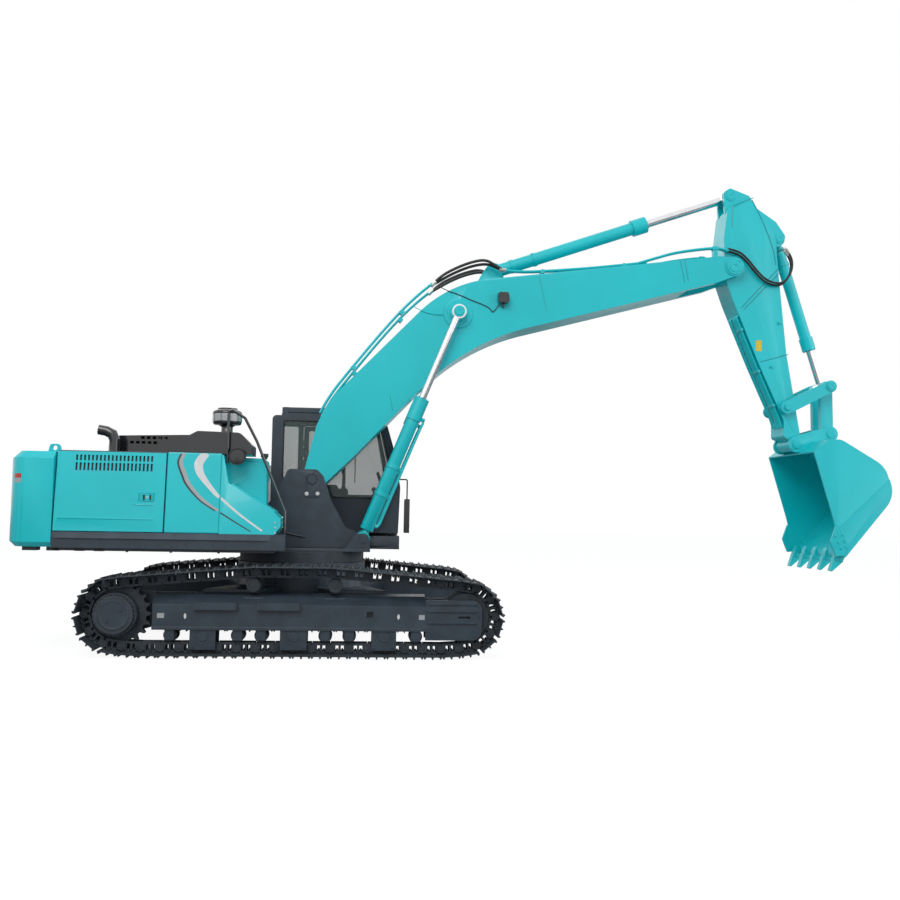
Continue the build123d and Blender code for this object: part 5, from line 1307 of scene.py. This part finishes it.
def cab_inside():
    """Monitor, lever grips, travel knobs, pedals and a floor mat."""
    bm = bmesh.new()
    tilt = Matrix.Rotation(radians(-18), 3, "Y")
    add_box(bm, at(0.985, 0.66, 2.06), at(1.025, 0.84, 2.27), tilt)
    add_round(bm, at(1.03, 0.75, 1.52), at(1.01, 0.75, 2.09), 0.02, 14)
    add_box(bm, at(0.8, 0.64, 1.466), at(1.2, 1.41, 1.476))
    finish("monitor", bm, "upper_structure", PLASTIC, 0.006, 3)
    bm = bmesh.new()
    add_box(bm, at(0.9835, 0.672, 2.078), at(0.986, 0.828, 2.252), tilt, at(1.005, 0.75, 2.165))
    finish("monitor_screen", bm, "upper_structure", SCREEN)
    bm = bmesh.new()
    for side in (-1, 1):
        grip = [(0, 0.016), (0.03, 0.022), (0.09, 0.026), (0.13, 0.03), (0.15, 0.026), (0.158, 0)]
        boot = [(0, 0.034), (0.02, 0.026), (0.05, 0.02), (0.06, 0.016)]
        knob = [(0, 0), (0.004, 0.014), (0.02, 0.023), (0.04, 0.014), (0.046, 0)]
        lever, pedal = SEAT_MIDDLE + side * 0.33, SEAT_MIDDLE + side * 0.09
        lathe(bm, grip, at(0.5, lever, 2.215), (-0.12, 0, 1), 20)
        lathe(bm, boot, at(0.5, lever, 2.025), (0, 0, 1), 20)
        lathe(bm, knob, at(0.93, pedal, 2.02), (0, 0, 1), 16)
        low = at(0.84, pedal - 0.055, 1.54)
        add_box(bm, low, low + Vector((0.2, 0.11, 0.012)), Matrix.Rotation(radians(-28), 3, "Y"))
    finish("cab_grips", bm, "upper_structure", GREY_PLASTIC, 0.002)


def applied(piece):
    """Settle a piece's modifiers into its mesh."""
    graph = bpy.context.evaluated_depsgraph_get()
    mesh = bpy.data.meshes.new_from_object(piece.evaluated_get(graph))
    piece.modifiers.clear()
    piece.data = mesh


CLOTH_STEPS = 20


def blow_up(piece, cap):
    """Let pressure round a cushion's cloth, with no point going further than the cap."""
    start = [vert.co.copy() for vert in piece.data.vertices]
    cloth = piece.modifiers.new("cloth", "CLOTH")
    cloth.settings.use_pressure = True
    cloth.settings.uniform_pressure_force = 4
    cloth.settings.effector_weights.gravity = 0
    for step in range(1, CLOTH_STEPS + 1):
        bpy.context.scene.frame_set(step)
    applied(piece)
    bpy.context.scene.frame_set(1)
    for vert, rest in zip(piece.data.vertices, start):
        move = vert.co - rest
        if move.length > cap:
            vert.co = rest + move.normalized() * cap


SEAT_BASE = [(0.055, 1.822), (0.52, 1.822), (0.545, 1.86), (0.538, 1.918)]
SEAT_BASE += [(0.49, 1.935), (0.14, 1.925), (0.06, 1.895)]
SEAT_BACK = [(0.05, 1.905), (0.12, 1.945), (0.03, 2.3), (-0.035, 2.425)]
SEAT_BACK += [(-0.085, 2.43), (-0.118, 2.4), (-0.06, 2.19)]
SEAT_HEAD = [(-0.075, 2.455), (-0.02, 2.46), (-0.045, 2.585), (-0.085, 2.6), (-0.12, 2.58)]
BASE_WING = [(0.1, 1.9), (0.52, 1.9), (0.5, 1.958), (0.14, 1.965)]
BACK_WING = [(0.07, 1.98), (0.145, 2.0), (0.075, 2.29), (0.0, 2.33)]


def seat():
    """The operator's seat: base, back and head cushions filled out by pressure."""
    bm = bmesh.new()
    for rows, half in ((SEAT_BASE, 0.225), (SEAT_BACK, 0.215), (SEAT_HEAD, 0.115)):
        add_side_plate(bm, rows, SEAT_MIDDLE - half, SEAT_MIDDLE + half)
    for side in (-1, 1):
        low, high = sorted((SEAT_MIDDLE + side * 0.165, SEAT_MIDDLE + side * 0.235))
        add_side_plate(bm, BASE_WING, low, high)
        add_side_plate(bm, BACK_WING, low, high)
    piece = finish("seat_cushions", bm, BODY_OF["operator_seat"], CLOTH, 0.018, 3)
    applied(piece)
    remesh = piece.modifiers.new("remesh", "REMESH")
    remesh.mode = "VOXEL"
    remesh.voxel_size = 0.011
    applied(piece)
    blow_up(piece, 0.012)
    smooth = piece.modifiers.new("smooth", "SUBSURF")
    smooth.levels = smooth.render_levels = 1
    applied(piece)
    piece.data.materials.clear()
    piece.data.materials.append(CLOTH)
    piece.data.shade_smooth()
    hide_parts("operator_seat")


def seat_frame():
    """The seat's pan, its suspension cover and the head cushion's posts."""
    bm = bmesh.new()
    add_box(bm, at(0.06, SEAT_MIDDLE - 0.215, 1.8055), at(0.52, SEAT_MIDDLE + 0.215, 1.826))
    for y in (-0.045, 0.045):
        add_round(bm, at(-0.062, SEAT_MIDDLE + y, 2.4), at(-0.072, SEAT_MIDDLE + y, 2.48), 0.007, 10)
    for side in (-1, 1):
        low = at(0.08, SEAT_MIDDLE + side * 0.33 - 0.045, 2.0255)
        add_box(bm, low, low + Vector((0.33, 0.09, 0.05)))
    finish("seat_frame", bm, "upper_structure", PLASTIC, 0.008, 3)


def roof_hatch():
    """The flat cover over the roof's guard."""
    bm = bmesh.new()
    add_box(bm, at(-0.365, CAB_NEAR + 0.062, 3.062), at(0.995, CAB_FAR - 0.062, 3.1395))
    finish("roof_hatch", bm, "upper_structure", DARK, 0.012, 3)


cab_trim()
roof_hatch()
cab_inside()
seat()
seat_frame()
NOSE_PLATES = [filled((0.945, 1.342), (1.035, 1.402), 1), filled((1.06, 1.342), (1.155, 1.402), 1)]
laid_film("nose_plates", "main_frame", NOSE_PLATES, WHITE)

# ---------------------------------------------------------------- ground, light and view


def world_light():
    """Soft even light, and plain white behind."""
    world = bpy.data.worlds.new("studio")
    bpy.context.scene.world = world
    world.use_nodes = True
    tree = world.node_tree
    soft = tree.nodes["Background"]
    soft.inputs["Color"].default_value = (0.86, 0.92, 1.0, 1)
    soft.inputs["Strength"].default_value = 0.5
    plain = tree.nodes.new("ShaderNodeBackground")
    plain.inputs["Color"].default_value = (1, 1, 1, 1)
    plain.inputs["Strength"].default_value = 1
    path = tree.nodes.new("ShaderNodeLightPath")
    rays = path.outputs["Is Camera Ray"]
    for kind in ("Is Transmission Ray", "Is Glossy Ray"):
        either = tree.nodes.new("ShaderNodeMath")
        either.operation = "MAXIMUM"
        tree.links.new(rays, either.inputs[0])
        tree.links.new(path.outputs[kind], either.inputs[1])
        rays = either.outputs[0]
    choice = tree.nodes.new("ShaderNodeMixShader")
    tree.links.new(rays, choice.inputs[0])
    tree.links.new(soft.outputs[0], choice.inputs[1])
    tree.links.new(plain.outputs[0], choice.inputs[2])
    tree.links.new(choice.outputs[0], tree.nodes["World Output"].inputs["Surface"])


def ground():
    """A wide pale floor that keeps the machine's shadow."""
    g = Graph("floor")
    out = g.tree.nodes["Material Output"]
    g.tree.nodes.remove(g.shader)
    matte = g.node("BsdfDiffuse", {"Color": (0.42, 0.42, 0.42, 1)})
    glow = g.node("Emission", {"Color": (1, 1, 1, 1), "Strength": 1.4})
    path = g.node("LightPath")
    share = Value(g, path.outputs["Is Camera Ray"]) * 0.66
    both = g.node("MixShader", {0: share})
    g.tree.links.new(matte.outputs[0], both.inputs[1])
    g.tree.links.new(glow.outputs[0], both.inputs[2])
    g.tree.links.new(both.outputs[0], out.inputs["Surface"])
    bm = bmesh.new()
    bmesh.ops.create_grid(bm, x_segments=1, y_segments=1, size=90)
    mesh = bpy.data.meshes.new("floor")
    bm.to_mesh(mesh)
    bm.free()
    mesh.materials.append(g.material)
    placed("floor", mesh)


def lamp(name, place, aim, power, size, tone=(1, 1, 1)):
    """A square soft light that points at a place."""
    light = bpy.data.lights.new(name, "AREA")
    light.energy = power
    light.size = size
    light.color = tone
    holder = placed(name, light)
    holder.location = place
    way = Vector(aim) - Vector(place)
    holder.rotation_euler = way.to_track_quat("-Z", "Y").to_euler()


YAW, PITCH, ROLL = radians(5.06), radians(3.73), radians(1.04)
CAMERA_PLACE = Vector((SWING.x + 0.75, -13.24, 1.689))
CAMERA_LENS = 39.76


def camera():
    """A level view of the machine's right side, turned a little to its front."""
    ahead = Vector((sin(YAW) * cos(PITCH), cos(YAW) * cos(PITCH), sin(PITCH)))
    level = Vector((cos(YAW), -sin(YAW), 0))
    rise = level.cross(ahead)
    up = rise * cos(ROLL) - level * sin(ROLL)
    right = level * cos(ROLL) + rise * sin(ROLL)
    data = bpy.data.cameras.new("camera")
    data.lens = CAMERA_LENS
    data.sensor_width = 36
    data.clip_end = 400
    holder = placed("camera", data)
    turn = Matrix((right, up, -ahead)).transposed().to_4x4()
    holder.matrix_world = Matrix.Translation(CAMERA_PLACE) @ turn
    bpy.context.scene.camera = holder


world_light()
ground()
lamp("key", (-6, -14, 14), (0, 0, 2), 1600, 11, (1.0, 0.98, 0.95))
lamp("fill", (14, -8, 7), (0, 0, 2.5), 600, 11, (0.93, 0.97, 1.0))
lamp("rim", (-4, 12, 15), (0, 0, 2), 600, 14)
camera()
bpy.context.scene.view_settings.view_transform = "Standard"
